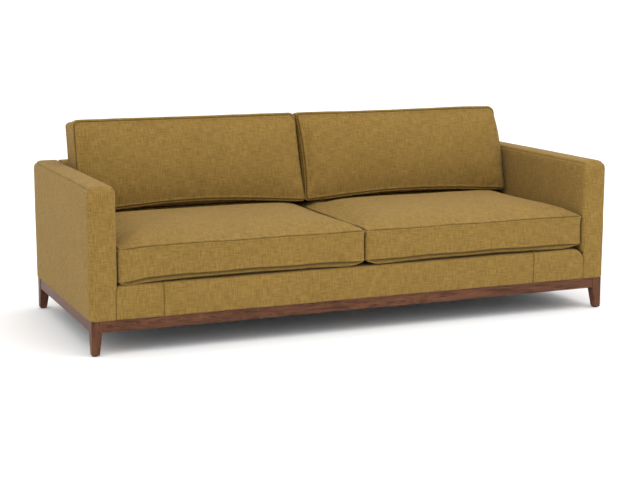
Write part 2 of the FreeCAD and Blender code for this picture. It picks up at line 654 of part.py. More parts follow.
def crowned_face(across, border, crown, to_space):
    """A closed outline: a border between two heights with a crown above it and below it.

    crown holds (rise, run) above and (rise, run) below; to_space turns (across, height) into a point.
    """
    (low_edge, high_edge), (low, high) = across, border
    (top_rise, top_run), (under_rise, under_run) = crown
    arcs = [
        crown_arc(low_edge, high, top_rise, top_run),
        crown_arc(high_edge, high, top_rise, -top_run)[::-1],
        crown_arc(high_edge, low, -under_rise, -under_run),
        crown_arc(low_edge, low, -under_rise, under_run)[::-1],
    ]
    edges = []
    for k, arc in enumerate(arcs):
        start, middle, end = (to_space(*point) for point in arc)
        edges.append(Part.Arc(start, middle, end).toShape())
        edges.append(Part.LineSegment(end, to_space(*arcs[(k + 1) % 4][0])).toShape())
    return Part.Face(Part.Wire(edges))


def seat_cushion_block(inset):
    """A boxed cushion: an upright border, with a crowned top and a shallower crown below."""
    x = (CUSHION_IN_X + inset, SEAT_OUT_X - inset)
    y = (CUSHION_FRONT + inset, CUSHION_REAR - inset)
    border = (BORDER_LOW + inset, BORDER_HIGH - inset)
    crown = ((SEAT_TOP - BORDER_HIGH, SEAT_CROWN_RUN), (BORDER_LOW - SEAT_CUSHION_BOTTOM, SEAT_UNDER_RUN))
    across = crowned_face(x, border, crown, lambda a, z: Vector(a, y[0], z))
    along_y = across.extrude(Vector(0, y[1] - y[0], 0))
    deep = crowned_face(y, border, crown, lambda a, z: Vector(x[0], a, z))
    along_x = deep.extrude(Vector(x[1] - x[0], 0, 0))
    plan = chamfered(box(x, y, (0, ARM_HEIGHT)), CUSHION_CORNER - inset / 2, lambda e: along(e, 2))
    return along_y.common(along_x).common(plan)


def back_cushion_block(inset):
    """A boxed cushion that leans back: crowned in front and behind, and level where it rests."""
    up = Vector(0, math.sin(LEAN), math.cos(LEAN))
    back = Vector(0, math.cos(LEAN), -math.sin(LEAN))
    foot = Vector(0, BACK_CUSHION_FRONT, BACK_CUSHION_BOTTOM)
    height = (BACK_CUSHION_TOP - BACK_CUSHION_BOTTOM) / math.cos(LEAN) - inset
    x = (CUSHION_IN_X + inset, BACK_OUT_X - inset)
    border = (inset, BACK_CUSHION_THICKNESS - inset)
    below = -2 * BACK_CUSHION_THICKNESS * math.sin(LEAN)

    def at(a, d, h):
        return foot + Vector(a, 0, 0) + back * d + up * h

    crown = ((BACK_CROWN_REAR, BACK_CROWN_RUN), (BACK_CROWN_FRONT, BACK_CROWN_RUN))
    across = crowned_face(x, border, crown, lambda a, d: at(a, d, below))
    across = across.extrude(up * (height - below))
    reach = (-BACK_CROWN_RUN, height)
    upright = crowned_face(reach, border, crown, lambda h, d: at(x[0], d, h))
    upright = upright.extrude(Vector(x[1] - x[0], 0, 0))

    shoulder = BACK_CUSHION_CORNER - inset / 2
    deep = 2 * BACK_CUSHION_THICKNESS
    panel = Part.makeBox(x[1] - x[0], deep, height - below)
    panel = chamfered(panel, shoulder, lambda e: along(e, 1) and e.BoundBox.ZMin > 1)
    panel.translate(Vector(x[0], -deep / 4, below))
    panel.rotate(Vector(0, 0, 0), Vector(1, 0, 0), -BACK_LEAN)
    panel.translate(foot)
    block = across.common(upright).common(panel)
    seat = box((0, HALF_WIDTH), (0, HALF_DEPTH), (0, BACK_CUSHION_BOTTOM + inset))
    return block.cut(seat)


def zip_pieces():
    """Zip and slider in their own frame: along X from the middle, Y across, Z out of the groove's floor."""
    half = ZIP_LENGTH / 2
    tape_top = ZIP_FLOAT + TAPE
    tape = box((-half, half), (-TAPE_HALF, TAPE_HALF), (ZIP_FLOAT, tape_top))
    chain_top = tape_top + CHAIN
    chain_end = half - CHAIN_INSET
    chain = box((-chain_end, chain_end), (-CHAIN_HALF, CHAIN_HALF), (tape_top, chain_top))
    start = -half + SLIDER_START
    floor = tape_top + SLIDER_PLAY
    body = box((start, start + SLIDER_LENGTH), (-SLIDER_HALF, SLIDER_HALF), (floor, floor + SLIDER_HEIGHT))
    channel = box(
        (start - PLAY, start + SLIDER_LENGTH + PLAY),
        (-CHAIN_HALF - SLIDER_PLAY, CHAIN_HALF + SLIDER_PLAY),
        (0, chain_top + SLIDER_PLAY),
    )
    body = rounded(body, SLIDER_CORNER, lambda e: along(e, 2))
    pull_start = start + SLIDER_LENGTH / 2
    pull_x = (pull_start, pull_start + PULL_LENGTH)
    pull_floor = floor + SLIDER_HEIGHT
    pull = box(pull_x, (-PULL_HALF, PULL_HALF), (pull_floor, pull_floor + PULL))
    pull = rounded(pull, PULL_CORNER, lambda e: along(e, 2))
    return tape.fuse(chain).removeSplitter(), carve(body, channel).fuse(pull).removeSplitter()


def groove(extra):
    """The groove that a zip lies in, in the zip's frame, grown by the cover's thickness if asked."""
    half = ZIP_LENGTH / 2 + GROOVE_END + extra
    side = GROOVE_HALF + extra
    return box((-half, half), (-side, side), (-extra, GROOVE_DEPTH + GROOVE_OPEN))


def place_on_seat(shape):
    """Groove frame to the rear border of the +X seat cushion: out is +Y, across is +Z."""
    shape = shape.copy()
    turn = FreeCAD.Rotation(Vector(1, 0, 0), -90)
    middle = (CUSHION_IN_X + SEAT_OUT_X) / 2
    at = Vector(middle, CUSHION_REAR - GROOVE_DEPTH, (BORDER_LOW + BORDER_HIGH) / 2)
    shape.Placement = FreeCAD.Placement(at, turn)
    return shape


def place_on_back(shape):
    """Groove frame to the underside of the +X back cushion: out is -Z."""
    shape = shape.copy()
    turn = FreeCAD.Rotation(Vector(1, 0, 0), 180)
    middle = (CUSHION_IN_X + BACK_OUT_X) / 2
    across = BACK_CUSHION_FRONT + BACK_CUSHION_THICKNESS / math.cos(LEAN) / 2
    at = Vector(middle, across, BACK_CUSHION_BOTTOM + GROOVE_DEPTH)
    shape.Placement = FreeCAD.Placement(at, turn)
    return shape


def cushions(parts):
    closed_zip, slider = zip_pieces()
    for row, block, place, stuffing in (
        ("seat", seat_cushion_block, place_on_seat, "foam"),
        ("back", back_cushion_block, place_on_back, "fill"),
    ):
        hollow = carve(block(COVER), place(groove(COVER)))
        cover = carve(block(0.0), place(groove(0.0)), hollow)
        inside = carve(block(COVER + CORE_CLEARANCE), place(groove(COVER + CORE_CLEARANCE)))
        for name, side in LEFT_AND_RIGHT:
            cushion = f"{name}_{row}_cushion"
            parts[f"{cushion}_cover"] = on_side(cover, side)
            parts[f"{cushion}_{stuffing}"] = on_side(inside, side)
            parts[f"{cushion}_zip"] = on_side(place(closed_zip), side)
            parts[f"{cushion}_zip_slider"] = on_side(place(slider), side)


# ---------------------------------------------------------------- build and write
def build():
    parts = {}
    wooden_base(parts)
    corner_blocks(parts)
    frame_bolts(parts)
    seat_frame(parts)
    arm_frames(parts)
    back_frame(parts)
    frame_panels(parts)
    suspension(parts)
    covers_and_padding(parts)
    cushions(parts)
    return parts


def main():
    os.makedirs("parts", exist_ok=True)
    for old in os.listdir("parts"):
        if old.endswith(".step"):
            os.remove(os.path.join("parts", old))
    parts = build()
    for name, shape in sorted(parts.items()):
        solids = shape.Solids
        sound = all(s.isValid() and s.Volume > 0 for s in solids)
        state = "sound" if sound else "NOT SOUND"
        print(f"{name}: {len(solids)} solids, {shape.Volume / 1e6:.3f} litres, {state}")
        shape.exportStep(f"parts/{name}.step")
    print(len(parts), "nodes")


if __name__ == "__main__":
    main()
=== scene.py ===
"""The sofa's looks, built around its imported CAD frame: upholstery, cushions, cloth, and every material.

Metres, in the CAD frame: +X to the right seen from the front, +Y to the back, +Z up, floor at 0.
Each soft piece is made of grids (points, weave coordinates, distance to the nearest seam) that are
welded where their edges meet. Seams are then pressed into the welded mesh along its normals.
"""

import math

import bmesh
import bpy
import numpy as np
from mathutils import Matrix, Vector


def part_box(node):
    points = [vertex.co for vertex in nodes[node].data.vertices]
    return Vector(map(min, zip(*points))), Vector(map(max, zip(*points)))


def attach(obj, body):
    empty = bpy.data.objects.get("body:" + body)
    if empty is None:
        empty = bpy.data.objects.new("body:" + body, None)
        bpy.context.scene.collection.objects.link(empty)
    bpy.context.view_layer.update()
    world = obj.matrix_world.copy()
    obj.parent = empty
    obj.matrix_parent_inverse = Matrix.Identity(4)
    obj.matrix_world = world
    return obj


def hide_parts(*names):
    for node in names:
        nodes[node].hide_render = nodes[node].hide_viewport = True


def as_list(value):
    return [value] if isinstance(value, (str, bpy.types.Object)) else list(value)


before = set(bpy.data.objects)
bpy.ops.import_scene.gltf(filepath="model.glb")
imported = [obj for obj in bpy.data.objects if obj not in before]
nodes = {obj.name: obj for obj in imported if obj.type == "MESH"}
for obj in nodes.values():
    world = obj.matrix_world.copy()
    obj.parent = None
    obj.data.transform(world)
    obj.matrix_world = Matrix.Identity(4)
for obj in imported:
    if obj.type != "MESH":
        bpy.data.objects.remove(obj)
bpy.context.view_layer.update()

# ---- camera and light
CAMERA_PLACE = (-2.375, -5.571, 1.361)
CAMERA_YAW = 23.08  # degrees from +Y towards +X
CAMERA_PITCH = 10.0  # degrees down
CAMERA_ROLL = 0.13
LENS_MM = 81.13
SKY = 1.3
TOP_LIGHT_WATTS = 46.0
TOP_LIGHT_PLACE = (0.8, -1.4, 3.4)
TOP_LIGHT_AIM = (0.0, 0.0, 0.4)
TOP_LIGHT_SIZE = (4.5, 3.0)
FLOOR_SIZE = 80.0

# ---- colours, linear
MUSTARD = (0.229, 0.139, 0.034)
WALNUT = (0.1, 0.036, 0.016)

# ---- fabric sizes, metres
CLOTH = 0.0016  # thickness of an upholstery shell
CLEAR = 0.0003  # how far cloth stays off what it lies on
THREAD = 0.0011  # from one thread of the weave to the next
SEAM_WIDTH = 0.0023
SEAM_DEPTH = 0.0036
SEAM_RIDGE = 0.0024  # height of the raised cloth beside a seam
SEAM_RIDGE_AT = 0.0062  # its distance from the seam
PANEL_SEAM = 0.42  # share of that depth and height on the arms and the back
FINE_STEP = 0.0095  # between the grid lines of a cushion
COARSE_STEP = 0.019  # and of the mesh that is simulated
NEAR_SEAM = np.array([0, 0.0012, 0.0025, 0.0042, 0.0065, 0.0095, 0.0135, 0.019, 0.027])
NEAR_COARSE = np.array([0, 0.012, 0.027])
ARM_RIM = 0.035  # rounding of the arms' top edges
ARM_CORNER = 0.018
HEM = 0.006  # radius of the fold at the fabric's lower edge
HEM_TURN = 0.01  # how far the fabric is turned under
HEM_ANGLES = np.radians(np.linspace(90, 0, 5))
CUSHION_INSET = 0.003  # how far a seat cushion's sides stand inside the CAD cushion
SEAT_CORNER = 0.011
SWELL_FRAMES = 20
DECK_RIB = 0.2056  # from one spring to the next
DUST_SAG = 0.004
STRAP = 0.05  # width of a back strap
STRAPS = 8


# ---- small helpers
def ramp(x, low, high):
    """0 below low, 1 above high, and a smooth step between."""
    t = np.clip((x - low) / (high - low), 0, 1)
    return t * t * (3 - 2 * t)


def smooth_min(x, y, soft):
    """The smaller of two values, never below 0, with a soft change between them."""
    near = np.maximum(soft - np.abs(x - y), 0) / soft
    return np.maximum(np.minimum(x, y) - near * near * soft / 4, 0)


def soft_limit(x, limit, soft):
    """x, bent so that it levels out below the limit."""
    return limit - soft * np.logaddexp(0, (limit - x) / soft)


def smooth_noise(points, size, seed):
    """Value noise in -1..1 with features of about the given size."""
    p = points / size + seed * 7.31
    cell = np.floor(p).astype(np.int64)
    part = p - cell
    fade = part * part * (3 - 2 * part)
    total = np.zeros(len(points))
    for k in range(8):
        step = np.array([k & 1, k >> 1 & 1, k >> 2 & 1])
        at = cell + step
        mixed = at[:, 0] * 374761393 + at[:, 1] * 668265263 + at[:, 2] * 1103515245 + seed * 12345
        mixed = mixed & 0xFFFFFFFF
        mixed = ((mixed ^ (mixed >> 13)) * 1274126177) & 0xFFFFFFFF
        value = ((mixed ^ (mixed >> 16)) & 0xFFFF) / 32767.5 - 1
        total += value * np.prod(np.where(step, fade, 1 - fade), axis=1)
    return total


def crossed(x, y):
    return np.meshgrid(x, y, indexing="ij")


def stacked(*columns):
    return np.stack(columns, axis=-1)


def lengths(path):
    """How far along a path each of its points is."""
    return np.concatenate([[0], np.cumsum(np.linalg.norm(np.diff(path, axis=0), axis=1))])


def from_ends(x, low, high):
    return np.minimum(x - low, high - x)


def lines(low, high, step, near=(0.0,)):
    """Grid lines between two ends, at the distances `near` from both ends and evenly between."""
    near = np.array([d for d in near if d < 0.45 * (high - low)])
    inner_low, inner_high = low + near[-1], high - near[-1]
    count = max(1, round((inner_high - inner_low) / step))
    middle = np.linspace(inner_low, inner_high, count + 1)
    return np.concatenate([low + near[:-1], middle, (high - near[:-1])[::-1]])


def cubic(known, values, wanted):
    """Values along the first axis at the wanted places, on a smooth curve through the known ones."""
    slope = np.gradient(values, known, axis=0)
    k = np.clip(np.searchsorted(known, wanted, side="right") - 1, 0, len(known) - 2)
    width = (known[k + 1] - known[k])[:, None, None]
    t = ((wanted - known[k])[:, None, None]) / width
    a, b = values[k], values[k + 1]
    rise_a, rise_b = slope[k] * width, slope[k + 1] * width
    return (
        (2 * t**3 - 3 * t**2 + 1) * a + (t**3 - 2 * t**2 + t) * rise_a
        + (3 * t**2 - 2 * t**3) * b + (t**3 - t**2) * rise_b
    )


def refined(values, known, wanted):
    """A grid of vectors moved from one pair of line sets to another."""
    across = cubic(known[0], values, wanted[0])
    return cubic(known[1], across.transpose(1, 0, 2), wanted[1]).transpose(1, 0, 2)


# ---- meshes
def grid_faces(shape, start):
    n, m = shape
    index = start + np.arange(n * m).reshape(n, m)
    quads = stacked(index[:-1, :-1], index[1:, :-1], index[1:, 1:], index[:-1, 1:])
    return quads.reshape(-1, 4)


def joined(patches):
    """Points, weave coordinates, seam distances and faces of all patches, one patch after another."""
    points = np.concatenate([p[0].reshape(-1, 3) for p in patches])
    weave = np.concatenate([p[1].reshape(-1, 2) for p in patches])
    seam = np.concatenate([p[2].ravel() for p in patches])
    faces, start = [], 0
    for patch in patches:
        faces.append(grid_faces(patch[0].shape[:2], start))
        start += patch[2].size
    return points, weave, seam, np.concatenate(faces)


def added(name, data):
    """A new object in the scene."""
    made = bpy.data.objects.new(name, data)
    bpy.context.scene.collection.objects.link(made)
    return made


def make_piece(name, patches, keep=None):
    """One mesh from patches of (points, weave coordinates, seam distance), welded at their edges.

    keep takes the middles of the faces and says which of them stay.
    """
    points, weave, seam, faces = joined(patches)
    if keep is not None:
        faces = faces[keep(*points[faces].mean(axis=1).T)]
    mesh = bpy.data.meshes.new(name)
    mesh.from_pydata(points.tolist(), [], faces.tolist())
    mesh.uv_layers.new(name="weave").data.foreach_set("uv", weave[faces.ravel()].ravel())
    mesh.attributes.new("seam", "FLOAT", "POINT").data.foreach_set("value", seam)
    work = bmesh.new()
    work.from_mesh(mesh)
    bmesh.ops.remove_doubles(work, verts=work.verts, dist=4e-6)
    bmesh.ops.delete(work, geom=[v for v in work.verts if not v.link_faces], context="VERTS")
    work.to_mesh(mesh)
    work.free()
    mesh.shade_smooth()
    return added(name, mesh)


def read(source, name, width=3):
    """One property of all of a mesh's elements, as rows."""
    out = np.empty(len(source) * width)
    source.foreach_get(name, out)
    return out.reshape(-1, width)


def places(piece):
    return read(piece.data.vertices, "co")


def move_to(piece, points):
    piece.data.vertices.foreach_set("co", points.ravel())
    piece.data.update()


def normals(piece):
    return read(piece.data.vertex_normals, "vector")


def sew(piece, depth=1.0):
    """Presses the seams in and raises the cloth beside them, and marks how deep in a seam each point lies.
    The fabric is darkened there: painted shade in the groove, with the seam's own slightly darker colour.
    """
    d = read(piece.data.attributes["seam"].data, "value", 1)[:, 0]
    pressed = np.exp(-((d / SEAM_WIDTH) ** 2))
    raised = np.exp(-(((d - SEAM_RIDGE_AT) / (0.6 * SEAM_RIDGE_AT)) ** 2))
    out = depth * (SEAM_RIDGE * raised - SEAM_DEPTH * pressed)
    move_to(piece, places(piece) + normals(piece) * out[:, None])
    # how deep in a seam each point lies, for the fabric's painted shade in the grooves and the seam's
    # slightly darker colour
    seam_shade_and_stitch = piece.data.attributes.new("seam_shade_and_stitch", "FLOAT", "POINT")
    seam_shade_and_stitch.data.foreach_set("value", pressed * min(1.0, depth))


def ruffle(piece, amounts, seed):
    """Small unevenness along the normals: pairs of (amount, size)."""
    points, out = places(piece), normals(piece)
    total = sum(a * smooth_noise(points, s, seed + k) for k, (a, s) in enumerate(amounts))
    move_to(piece, points + out * total[:, None])


def thicken(piece, thickness):
    """Gives a shell its thickness, inwards."""
    solid = piece.modifiers.new("thickness", "SOLIDIFY")
    solid.thickness = thickness
    solid.offset = -1
    solid.use_even_offset = False


# ---- materials
class Material:
    """A node tree around one Principled shader."""

    def __init__(self, name, roughness=0.5, **sockets):
        self.material = bpy.data.materials.new(name)
        self.material.use_nodes = True
        self.tree = self.material.node_tree
        self.shader = self.tree.nodes["Principled BSDF"]
        self.shader.inputs["Roughness"].default_value = roughness
        self.where = self.add("TexCoord", output=3)
        for socket, value in sockets.items():
            title = socket.replace("_", " ").title().replace("Ior", "IOR")
            self.shader.inputs[title].default_value = value

    def add(self, kind, inputs=(), output=0, **settings):
        node = self.tree.nodes.new("ShaderNode" + kind)
        for key, value in settings.items():
            setattr(node, key, value)
        for key, value in dict(inputs).items():
            if isinstance(value, bpy.types.NodeSocket):
                self.tree.links.new(value, node.inputs[key])
            else:
                node.inputs[key].default_value = value
        return node.outputs[output]

    def math(self, operation, a, b=0.0, c=0.0):
        return self.add("Math", {0: a, 1: b, 2: c}, operation=operation)

    def times(self, a, b):
        return self.math("MULTIPLY", a, b)

    def plus(self, a, share, b):
        """A share of a, added to b."""
        return self.math("MULTIPLY_ADD", a, share, b)

    def scaled(self, vector, scale):
        return self.add("VectorMath", {0: vector, 1: scale}, operation="MULTIPLY")

    def noise(self, vector, scale=1.0, detail=2.0, roughness=0.5):
        inputs = {"Vector": vector, "Scale": scale, "Detail": detail, "Roughness": roughness}
        return self.add("TexNoise", inputs)

    def threads(self, cloth, pitch):
        """Between -1 and 1, up and down in a plain weave."""
        split = self.add("SeparateXYZ", {0: cloth}).node
        warp = self.math("SINE", self.times(split.outputs[0], math.pi / pitch))
        weft = self.math("SINE", self.times(split.outputs[1], math.pi / pitch))
        return self.times(warp, weft)

    def plain(self, colour):
        socket = self.add("RGB")
        socket.default_value = (*colour, 1)
        return socket

    def blend(self, amount, dark, light):
        return self.add("Mix", {0: amount, 6: (*dark, 1), 7: (*light, 1)}, output=2, data_type="RGBA")

    def fade(self, amount, a, b):
        """Like blend, between sockets."""
        return self.add("Mix", {0: amount, 6: a, 7: b}, output=2, data_type="RGBA")

    def colour(self, socket):
        self.tree.links.new(socket, self.shader.inputs["Base Color"])

    def rough(self, socket):
        self.tree.links.new(socket, self.shader.inputs["Roughness"])

    def bump(self, height, distance, strength=1.0):
        out = self.add("Bump", {"Height": height, "Distance": distance, "Strength": strength})
        self.tree.links.new(out, self.shader.inputs["Normal"])


# shares of the yarns, slubs, mottle and cloudiness in the fabric's colour
YARNS, SLUBS, MOTTLE, CLOUD = 1.0, 1.15, 0.12, 0.25


def tint(colour, factor, shift=(1, 1, 1)):
    return tuple(c * factor * s for c, s in zip(colour, shift))


def fabric(name, base):
    """Linen-like upholstery cloth: threads both ways, thick and thin yarns, and a faint mottle."""
    m = Material(name, 0.92, sheen_weight=0.09, sheen_roughness=0.5, specular_ior_level=0.08)
    m.shader.inputs["Sheen Tint"].default_value = (1.0, 0.9, 0.66, 1)
    cloth = m.add("UVMap", uv_map="weave")
    yarn_up = m.noise(m.scaled(cloth, (600, 32, 1)), detail=1)
    yarn_across = m.noise(m.scaled(cloth, (32, 600, 1)), detail=1)
    slub_up = m.noise(m.scaled(cloth, (330, 20, 1)), detail=1)
    slub_across = m.noise(m.scaled(cloth, (20, 330, 1)), detail=1)
    mottle = m.noise(m.where, 60)
    cloud = m.noise(m.where, 7)
    yarns = m.math("ADD", yarn_up, yarn_across)
    slubs = m.math("ADD", slub_up, slub_across)
    mixed = m.plus(yarns, YARNS, m.times(slubs, SLUBS))
    mixed = m.plus(mottle, MOTTLE, mixed)
    mixed = m.plus(cloud, CLOUD, mixed)
    # yarns and slubs are sums of two noises, with their middle at 1, and the others' is at a half
    mixed = m.math("SUBTRACT", mixed, YARNS + SLUBS + MOTTLE / 2 + CLOUD / 2 - 0.5)
    amount = m.add("Clamp", {0: mixed})
    body = m.blend(amount, tint(base, 0.7, (1, 0.98, 0.92)), tint(base, 1.34, (1, 1.02, 1.08)))
    # darker in the seam grooves: painted shade, with the seam's own slightly darker colour
    seam_shade_and_stitch = m.add("Attribute", output=2, attribute_name="seam_shade_and_stitch")
    shade = m.times(seam_shade_and_stitch, 0.85)
    m.colour(m.fade(shade, body, m.plain(tint(base, 0.25))))
    height = m.plus(m.threads(cloth, THREAD), 0.1, m.times(yarns, 0.55))
    height = m.plus(slubs, 0.9, height)
    m.bump(height, THREAD, 0.9)
    return m.material


def wood(name, base, axis, spread=0.55, coat=0.04):
    """Wood with its grain along an axis."""
    m = Material(name, 0.48, coat_weight=coat, coat_roughness=0.4, specular_ior_level=0.15)
    stretch = [1.0, 1.0, 1.0]
    stretch[axis] = 0.07
    along = m.scaled(m.where, tuple(stretch))
    wander = m.noise(along, 9)
    wander_all = m.add("CombineXYZ", {k: wander for k in range(3)})
    bent = m.add("VectorMath", {0: along, 1: wander_all, 2: (0.05,) * 3}, operation="MULTIPLY_ADD")
    bands = m.noise(bent, 210, detail=4, roughness=0.75)
    pores = m.noise(bent, 420)
    cloud = m.noise(m.where, 5)
    mixed = m.plus(bands, 3.4, m.times(cloud, 0.8))
    mixed = m.math("SUBTRACT", mixed, 1.65)
    amount = m.add("Clamp", {0: mixed})
    late, early = tint(base, 1 - spread, (1, 0.95, 0.92)), tint(base, 1 + 1.3 * spread, (1, 1.06, 1.1))
    body = m.blend(amount, late, early)
    pore = m.add("Clamp", {0: m.times(m.math("SUBTRACT", pores, 0.6), 5.0)})
    m.colour(m.fade(m.times(pore, 0.6), body, m.plain(tint(base, 0.45))))
    m.rough(m.plus(bands, 0.2, 0.34))
    m.bump(m.math("SUBTRACT", m.times(bands, 0.5), pore), 0.0004, 0.6)
    return m.material


def speckled(name, dark, light, size, roughness, bump=0.0002, **sockets):
    """A plain material with fine unevenness of colour and surface."""
    m = Material(name, roughness, **sockets)
    grain = m.noise(m.where, 1 / size, detail=4, roughness=0.6)
    wide = m.noise(m.where, 6)
    amount = m.plus(grain, 1.2, m.times(wide, 0.5))
    m.colour(m.blend(m.add("Clamp", {0: m.math("SUBTRACT", amount, 0.35)}), dark, light))
    m.rough(m.plus(grain, 0.15, roughness - 0.07))
    m.bump(grain, bump)
    return m.material


def woven(name, dark, light, pitch, roughness=0.9):
    """A plain weave on the weave coordinates."""
    m = Material(name, roughness, specular_ior_level=0.2)
    cloth = m.add("UVMap", uv_map="weave")
    check = m.plus(m.threads(cloth, pitch), 0.25, 0.25)
    yarn = m.noise(m.scaled(cloth, (400, 30, 1)))
    m.colour(m.blend(m.add("Clamp", {0: m.plus(yarn, 0.5, check)}), dark, light))
    m.bump(m.math("ADD", check, yarn), 0.0004)
    return m.material


ZIP_CHAIN = 0.0022  # half the width of a zip's coil of teeth
ZIP_TOOTH = 0.0015  # from one tooth to the next


def zip_cloth(name, base, chain_axis, middle):
    """Zip tape with a coil of teeth down its middle. chain_axis is the axis across the tape."""
    m = Material(name, 0.8)
    split = m.add("SeparateXYZ", {0: m.where}).node
    across = m.math("ABSOLUTE", m.math("SUBTRACT", split.outputs[chain_axis], middle))
    teeth = m.math("LESS_THAN", across, ZIP_CHAIN)
    coil = m.math("SINE", m.times(split.outputs[0], 2 * math.pi / ZIP_TOOTH))
    lit = m.add("Clamp", {0: m.plus(coil, 0.5, 0.5)})
    weave = m.noise(m.scaled(m.where, (900, 500, 500)))
    tape = m.blend(weave, tint(base, 0.6), tint(base, 0.95))
    coils = m.blend(lit, (0.05, 0.035, 0.015), (0.3, 0.2, 0.07))
    m.colour(m.fade(teeth, tape, coils))
    m.bump(m.plus(m.times(coil, teeth), 0.8, weave), 0.0004)
    return m.material


# ---- upholstered blocks
def outline(size, corner, cuts):
    """Samples round a rounded rectangle, against the clock from its low corner: (inner points, directions).

    cuts holds the places along X and along Y where the straight runs have samples.
    """
    far_x, far_y = size[0] - corner, size[1] - corner
    runs = (
        ((corner, corner), [(x, corner) for x in cuts[0]]),
        ((far_x, corner), [(far_x, y) for y in cuts[1]]),
        ((far_x, far_y), [(x, far_y) for x in cuts[0][::-1]]),
        ((corner, far_y), [(corner, y) for y in cuts[1][::-1]]),
    )
    turns = np.linspace(-90, 0, 7)
    points, ways = [], []
    for k, (pivot, run) in enumerate(runs):
        facing = 90.0 * (k - 1)
        points += [pivot] * len(turns) + run
        ways += list(facing + turns) + [facing] * len(run)
    points.append(points[0])
    ways.append(ways[0] + 360)
    ways = np.radians(np.array(ways))
    return np.array(points), stacked(np.cos(ways), np.sin(ways))


def within(x, low, high):
    return x[(x >= low - 1e-7) & (x <= high + 1e-7)]


def block_patches(low, high, corner, rim, cuts, heights, shares):
    """The outside of a padded block, open below: turned-under hem, sides, rounded rim, and top.

    shares make the rim narrower at the low X side and at the high X side.
    """
    size = np.array((high - low)[:2])
    ends = rim * np.array(shares)
    cuts = (np.unique(np.append(cuts[0], (ends[0], size[0] - ends[1])).round(8)), cuts[1])
    inner, way = outline(size, corner, cuts)
    top = high.z - low.z
    rim_turn = np.radians(np.linspace(0, 90, 17))
    parts = (
        ([HEM + HEM_TURN], [0.0]),
        (HEM * (1 - np.cos(HEM_ANGLES)), HEM * (1 - np.sin(HEM_ANGLES))),
        (0 * heights, heights),
        (rim * (1 - np.cos(rim_turn)), top - rim + rim * np.sin(rim_turn)),
    )
    insets, levels = (np.concatenate(part) for part in zip(*parts))
    rows = []
    for inset, level in zip(insets, levels):
        turn = corner * (1 - inset / rim)
        away_low, away_high = (inset * np.array((share, 1.0)) + turn for share in shares)
        plan = np.clip(inner, away_low, size - away_high) + turn * way
        rows.append(np.concatenate([plan, np.full((len(plan), 1), level)], axis=1))
    side = np.stack(rows, axis=1)
    outer = inner + corner * way
    run = lengths(outer)
    rise = lengths(stacked(insets, levels))
    side_weave = stacked(*crossed(run, rise))
    x, y = crossed(within(cuts[0], ends[0], size[0] - ends[1]), within(cuts[1], rim, size[1] - rim))
    lid = stacked(x, y, np.full_like(x, top))
    return [
        (side + np.array(low), side_weave, np.ones(side.shape[:2])),
        (lid + np.array(low), stacked(x, y), np.ones(x.shape)),
    ]


def edge_distance(points, low, high):
    """For points on a block: how far the nearest of the block's edges is."""
    gaps = np.concatenate([points - np.array(low), np.array(high) - points], axis=1)
    return np.sort(np.abs(gaps), axis=1)[:, 1]


def puff(piece, low, high, amount, run):
    """Swells a block's faces by an amount, reached at a run's distance from their edges."""
    points = places(piece)
    swell = amount * ramp(edge_distance(points, low, high), 0.0, run)
    move_to(piece, points + normals(piece) * swell[:, None])


def set_seams(piece, distance):
    """Sets how far each point is from the nearest seam."""
    piece.data.attributes["seam"].data.foreach_set("value", distance)


def dense_cuts(length, rim, step, seam_at):
    """Places along a block's side: its rim, lines round a seam near each end, and even ones between."""
    fine = seam_at + np.array([-0.004, -0.002, -0.001, 0, 0.001, 0.002, 0.004])
    ends = np.concatenate([fine, [rim, rim + 0.004, rim + 0.009, rim + 0.016]])
    return lines(0.0, length, step, np.unique(ends))


ARM_SEAM = 0.0145  # front and rear panels: seam to the edge
TOP_SEAM = 0.011  # top panel: seam below the top
REAR_SHOWN = 0.045  # how deep the joint between an arm and the back can be seen into from behind
BACK_END = 0.007  # rounding of the back's upright edges, between the arms
BACK_SEAM = 0.035  # the back's rear panel: upright seams to its ends


def arm(side):
    """An arm's upholstery. side is "left" or "right"."""
    low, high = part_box(f"{side}_arm_cover")
    low.z += CLEAR
    size = high - low
    cuts = (
        dense_cuts(size.x, ARM_RIM, 0.01, ARM_SEAM), lines(0.0, size.y, 0.0125, (ARM_RIM, ARM_RIM + 0.006))
    )
    heights = lines(HEM + 0.004, size.z - ARM_RIM - 0.003, 0.0105)
    inner_x = low.x if side == "right" else high.x
    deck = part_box("deck_cloth")[0].z
    back_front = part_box("back_cover")[0].y

    def keep(x, y, z):
        inner = (np.abs(x - inner_x) < 0.004) & (y < high.y - REAR_SHOWN)
        behind = (y > back_front + 0.016) & (z < high.z - ARM_RIM - 0.01)
        return ~(inner & ((z < deck - 0.006) | behind))

    shares = (1.0, 0.6) if side == "left" else (0.6, 1.0)
    patches = block_patches(low, high, ARM_CORNER, ARM_RIM, cuts, heights, shares)
    piece = make_piece(f"{side}_arm", patches, keep)
    x, y, z = places(piece).T
    from_side = from_ends(x, low.x, high.x)
    below_top = high.z - z
    on_end = high.y - y < 0.006
    end_seam = np.where(on_end, np.abs(np.minimum(from_side, below_top + 0.004) - ARM_SEAM), 1.0)
    on_flank = (np.abs(normals(piece)[:, 0]) > 0.25) & (from_side < ARM_RIM) & ~on_end
    top_seam = np.where(on_flank, np.abs(below_top - TOP_SEAM), 1.0)
    set_seams(piece, np.minimum(end_seam, top_seam))
    puff(piece, low, high, amount=0.003, run=0.11)
    # the inside of an arm is fullest at the seat's height and thinner at its foot
    x, y, z = places(piece).T
    toward = 1.0 if side == "right" else -1.0
    foot = ramp(deck + 0.06 - z, 0.0, 0.12) * ramp(np.abs(x - inner_x), 0.03, 0.0)
    move_to(piece, stacked(x + toward * 0.0024 * foot, y, z))
    ruffle(piece, ((0.0011, 0.16), (0.0005, 0.055)), seed=11 if side == "left" else 23)
    sew(piece, PANEL_SEAM)
    thicken(piece, CLOTH)
    return piece


